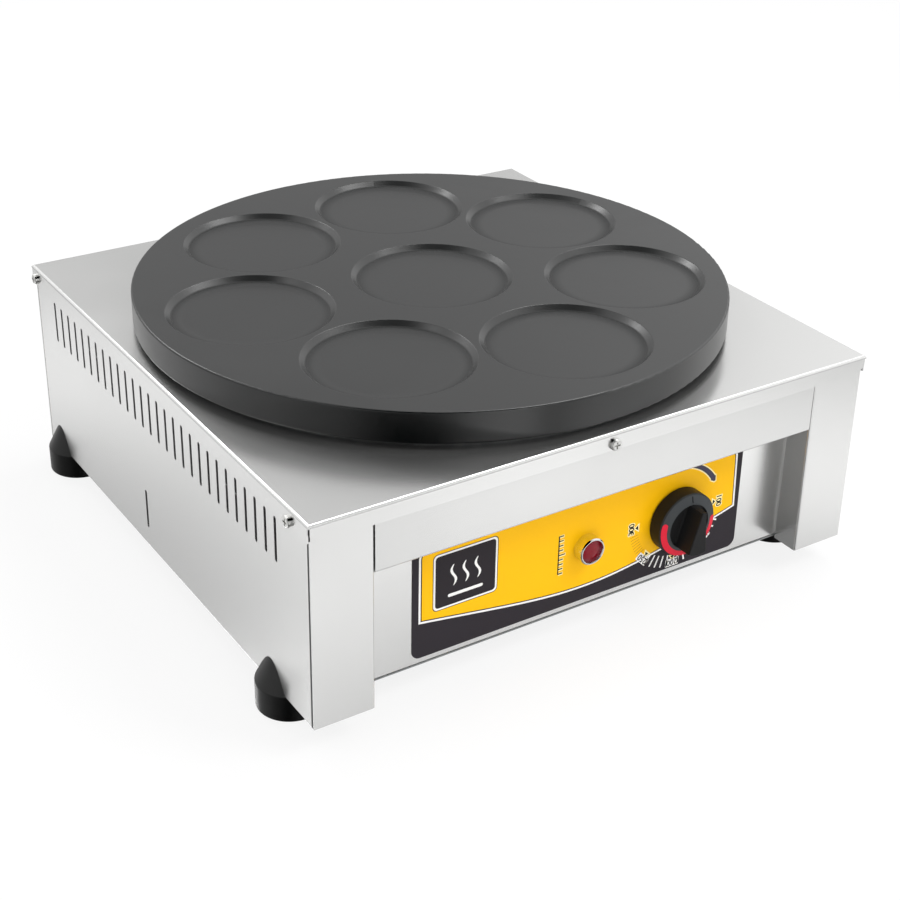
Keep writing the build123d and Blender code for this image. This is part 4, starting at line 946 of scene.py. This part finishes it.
def printNumber(name, words, spread, height, place, ink):
    # digits as a thin plate, with their strokes spread to both sides
    curve = bpy.data.curves.new(name, "FONT")
    curve.body = words
    curve.size = dial["numberSize"] * mm
    curve.align_x = "CENTER"
    curve.align_y = "CENTER"
    curve.offset = spread * mm
    curve.extrude = height / 2 * mm
    curve.resolution_u = 4
    flat = bpy.data.objects.new(name + "_flat", curve)
    scene.collection.objects.link(flat)
    data = bpy.data.meshes.new_from_object(flat)
    bpy.data.objects.remove(flat)
    data.transform(place @ Matrix.Translation((0, 0, height / 2 * mm)))
    mesh = bmesh.new()
    mesh.from_mesh(data)
    bmesh.ops.remove_doubles(mesh, verts=mesh.verts, dist=0.001 * mm)
    finishPiece(name, mesh, inks[ink], "housing")


def makeNumbers():
    width, height = dial["plainBox"]
    box = roundedBox(-width / 2, width / 2, -height / 2, height / 2, dial["plainBoxRadius"])
    for words, angle in dial["numbers"].items():
        place = dialPlace(angle, dial["numberRadius"])
        if words in dial["boxed"]:
            mesh = bmesh.new()
            addPlate(mesh, box, 4 * layer, place)
            finishPiece("dial_box_" + words, mesh, inks["white"], "housing")
        else:
            printNumber("dial_halo_" + words, words, dial["numberHalo"], 4 * layer, place, "cream")
        printNumber("dial_number_" + words, words, dial["numberWeight"], 5 * layer, place, "black")


def makeTriangles():
    pale, dark = bmesh.new(), bmesh.new()
    width, height = dial["triangle"]
    beside, foot, tip = dial["triangleHalo"]
    for angle in dial["numbers"].values():
        place = dialPlace(angle, dial["tipRadius"] - height)
        addPlate(dark, [(-width / 2, 0), (width / 2, 0), (0, height)], 5 * layer, place)
        addPlate(pale, [(-width / 2 - beside, -foot), (width / 2 + beside, -foot), (0, height + tip)],
                 4 * layer, place)
    finishPiece("dial_triangle_halos", pale, inks["cream"], "housing")
    finishPiece("dial_triangles", dark, inks["black"], "housing")


# rows of ticks: angles clockwise from the top, width at the inner end, inner and outer radius
ticks = {
    "onYellow": {"angles": (234, 260), "count": 8, "width": 0.32, "radii": (31.0, 37.4), "ink": "amber"},
    "onDark": {"angles": (187.5, 217.5), "count": 5, "width": 1.0, "radii": (30.1, 38.7), "ink": "white"},
    "belowKnob": {"angles": (112.5, 172.5), "count": 9, "width": 1.0, "radii": (30.1, 38.7),
                  "ink": "white"},
}
tickFlare = 1.15  # how much wider a tick is at its outer end


def makeTicks():
    for name, row in ticks.items():
        (first, last), (inner, outer) = row["angles"], row["radii"]
        half, length = row["width"] / 2, outer - inner
        outline = [(-half, 0), (half, 0), (half * tickFlare, length), (-half * tickFlare, length)]
        mesh = bmesh.new()
        for i in range(row["count"]):
            angle = first + (last - first) * i / (row["count"] - 1)
            addPlate(mesh, outline, 4 * layer, dialPlace(angle, inner))
        finishPiece("dial_ticks_" + name, mesh, inks[row["ink"]], "housing")


turnArrow = {
    "radius": 35.1,
    "first": 8.0,  # clockwise from the top
    "neck": 56.8,
    "tip": 62.3,
    "widths": (2.8, 3.8),  # at the tail and at the neck
    "headWidth": 5.3,
    "tipWidth": 1.2,
    "halo": 0.8,
    "steps": 20,
}


def arrowOutline(grow):
    # curved arrow that shows which way the heat rises: its outer edge, its head and its inner edge
    tail, neck = turnArrow["widths"]
    outer, inner = [], []
    for i in range(turnArrow["steps"] + 1):
        t = i / turnArrow["steps"]
        angle = turnArrow["first"] + (turnArrow["neck"] - turnArrow["first"]) * t
        half = (tail + (neck - tail) * t) / 2 + grow
        outer.append((half, angle))
        inner.append((-half, angle))
    # a halo also begins earlier at the neck and ends later at the tip, by a degree and by two per mm
    neckAngle, tipAngle = turnArrow["neck"] - grow, turnArrow["tip"] + 2 * grow
    half, tip = turnArrow["headWidth"] / 2 + grow, (turnArrow["tipWidth"] + grow) / 2
    head = [(half, neckAngle), (tip, tipAngle), (-tip, tipAngle), (-half, neckAngle)]
    return [(dial["x"] + (turnArrow["radius"] + out) * sin(radians(angle)),
             dial["z"] + (turnArrow["radius"] + out) * cos(radians(angle)))
            for out, angle in outer + head + inner[::-1]]


makeNumbers()
makeTriangles()
makeTicks()
printPlates("turn_arrow_halo", [arrowOutline(turnArrow["halo"])], 4 * layer, "cream")
printPlates("turn_arrow", [arrowOutline(0)], 5 * layer, "plum")
print("dial printed")


knobPaint = {
    "rimRadius": 22.5,  # outer edge of the conical face, and how far in front of the label it is
    "rimFront": 11.3,
    "innerRadius": 15.3,  # and the same of its inner edge
    "innerFront": 13.3,
    "radius": 19.9,  # middle of the red band
    "width": 4.0,
    "height": 0.12,
    "start": 90.0,  # clockwise from the top, with the knob at rest
    "end": 284.0,
    "acrossSteps": 8,
    "alongSteps": 60,
    "domeFacets": (24, 12),
}
coneSlope = ((knobPaint["innerFront"] - knobPaint["rimFront"])
             / (knobPaint["rimRadius"] - knobPaint["innerRadius"]))
redPaint = mouldedPlastic("redPaint", "#CE1230", 0.40, grain=0.8, relief=0.05, gloss=0.3)


def knobFront(radius):
    # how far the conical face of the knob stands in front of the label
    return knobPaint["rimFront"] + (knobPaint["rimRadius"] - radius) * coneSlope


def addDome(mesh, angle):
    # flat dome that lies on the conical face and rounds off an end of the band
    acrossFacets, alongFacets = knobPaint["domeFacets"]
    half, radius = knobPaint["width"] / 2, knobPaint["radius"]
    ball = bmesh.ops.create_uvsphere(mesh, u_segments=acrossFacets, v_segments=alongFacets,
                                     radius=1.0)["verts"]
    bmesh.ops.scale(mesh, vec=(half * mm, knobPaint["height"] * mm, half * mm), verts=ball)
    tilt = Matrix.Rotation(-coneSlope, 4, "X")
    lift = Matrix.Translation((0, labelFront - knobFront(radius) * mm, radius * mm))
    turn = Matrix.Rotation(angle, 4, "Y")
    place = Matrix.Translation((knobX * mm, 0, knobZ * mm)) @ turn @ lift @ tilt
    bmesh.ops.transform(mesh, matrix=place, verts=ball)


def makeKnobBand():
    # red band on the conical face, domed a little, with round ends
    mesh = bmesh.new()
    section = []
    for i in range(knobPaint["acrossSteps"] + 1):
        angle = pi * i / knobPaint["acrossSteps"]
        radius = knobPaint["radius"] - knobPaint["width"] / 2 * cos(angle)
        rise = knobPaint["height"] * sin(angle)
        section.append(mesh.verts.new((knobX * mm, labelFront - (knobFront(radius) + rise) * mm,
                                       (knobZ + radius) * mm)))
    edges = [mesh.edges.new(pair) for pair in zip(section, section[1:])]
    centre = Vector((knobX * mm, 0, knobZ * mm))
    start, end = radians(knobPaint["start"]), radians(knobPaint["end"])
    bmesh.ops.rotate(mesh, cent=centre, matrix=Matrix.Rotation(start, 4, "Y"), verts=section)
    bmesh.ops.spin(mesh, geom=section + edges, cent=centre, axis=(0, 1, 0), angle=end - start,
                   steps=knobPaint["alongSteps"], use_duplicate=False)
    for angle in (end, start):
        addDome(mesh, angle)
    finishPiece("knob_heat_band", mesh, redPaint, "knob")


makeKnobBand()
print("knob painted")

print("pieces finished")
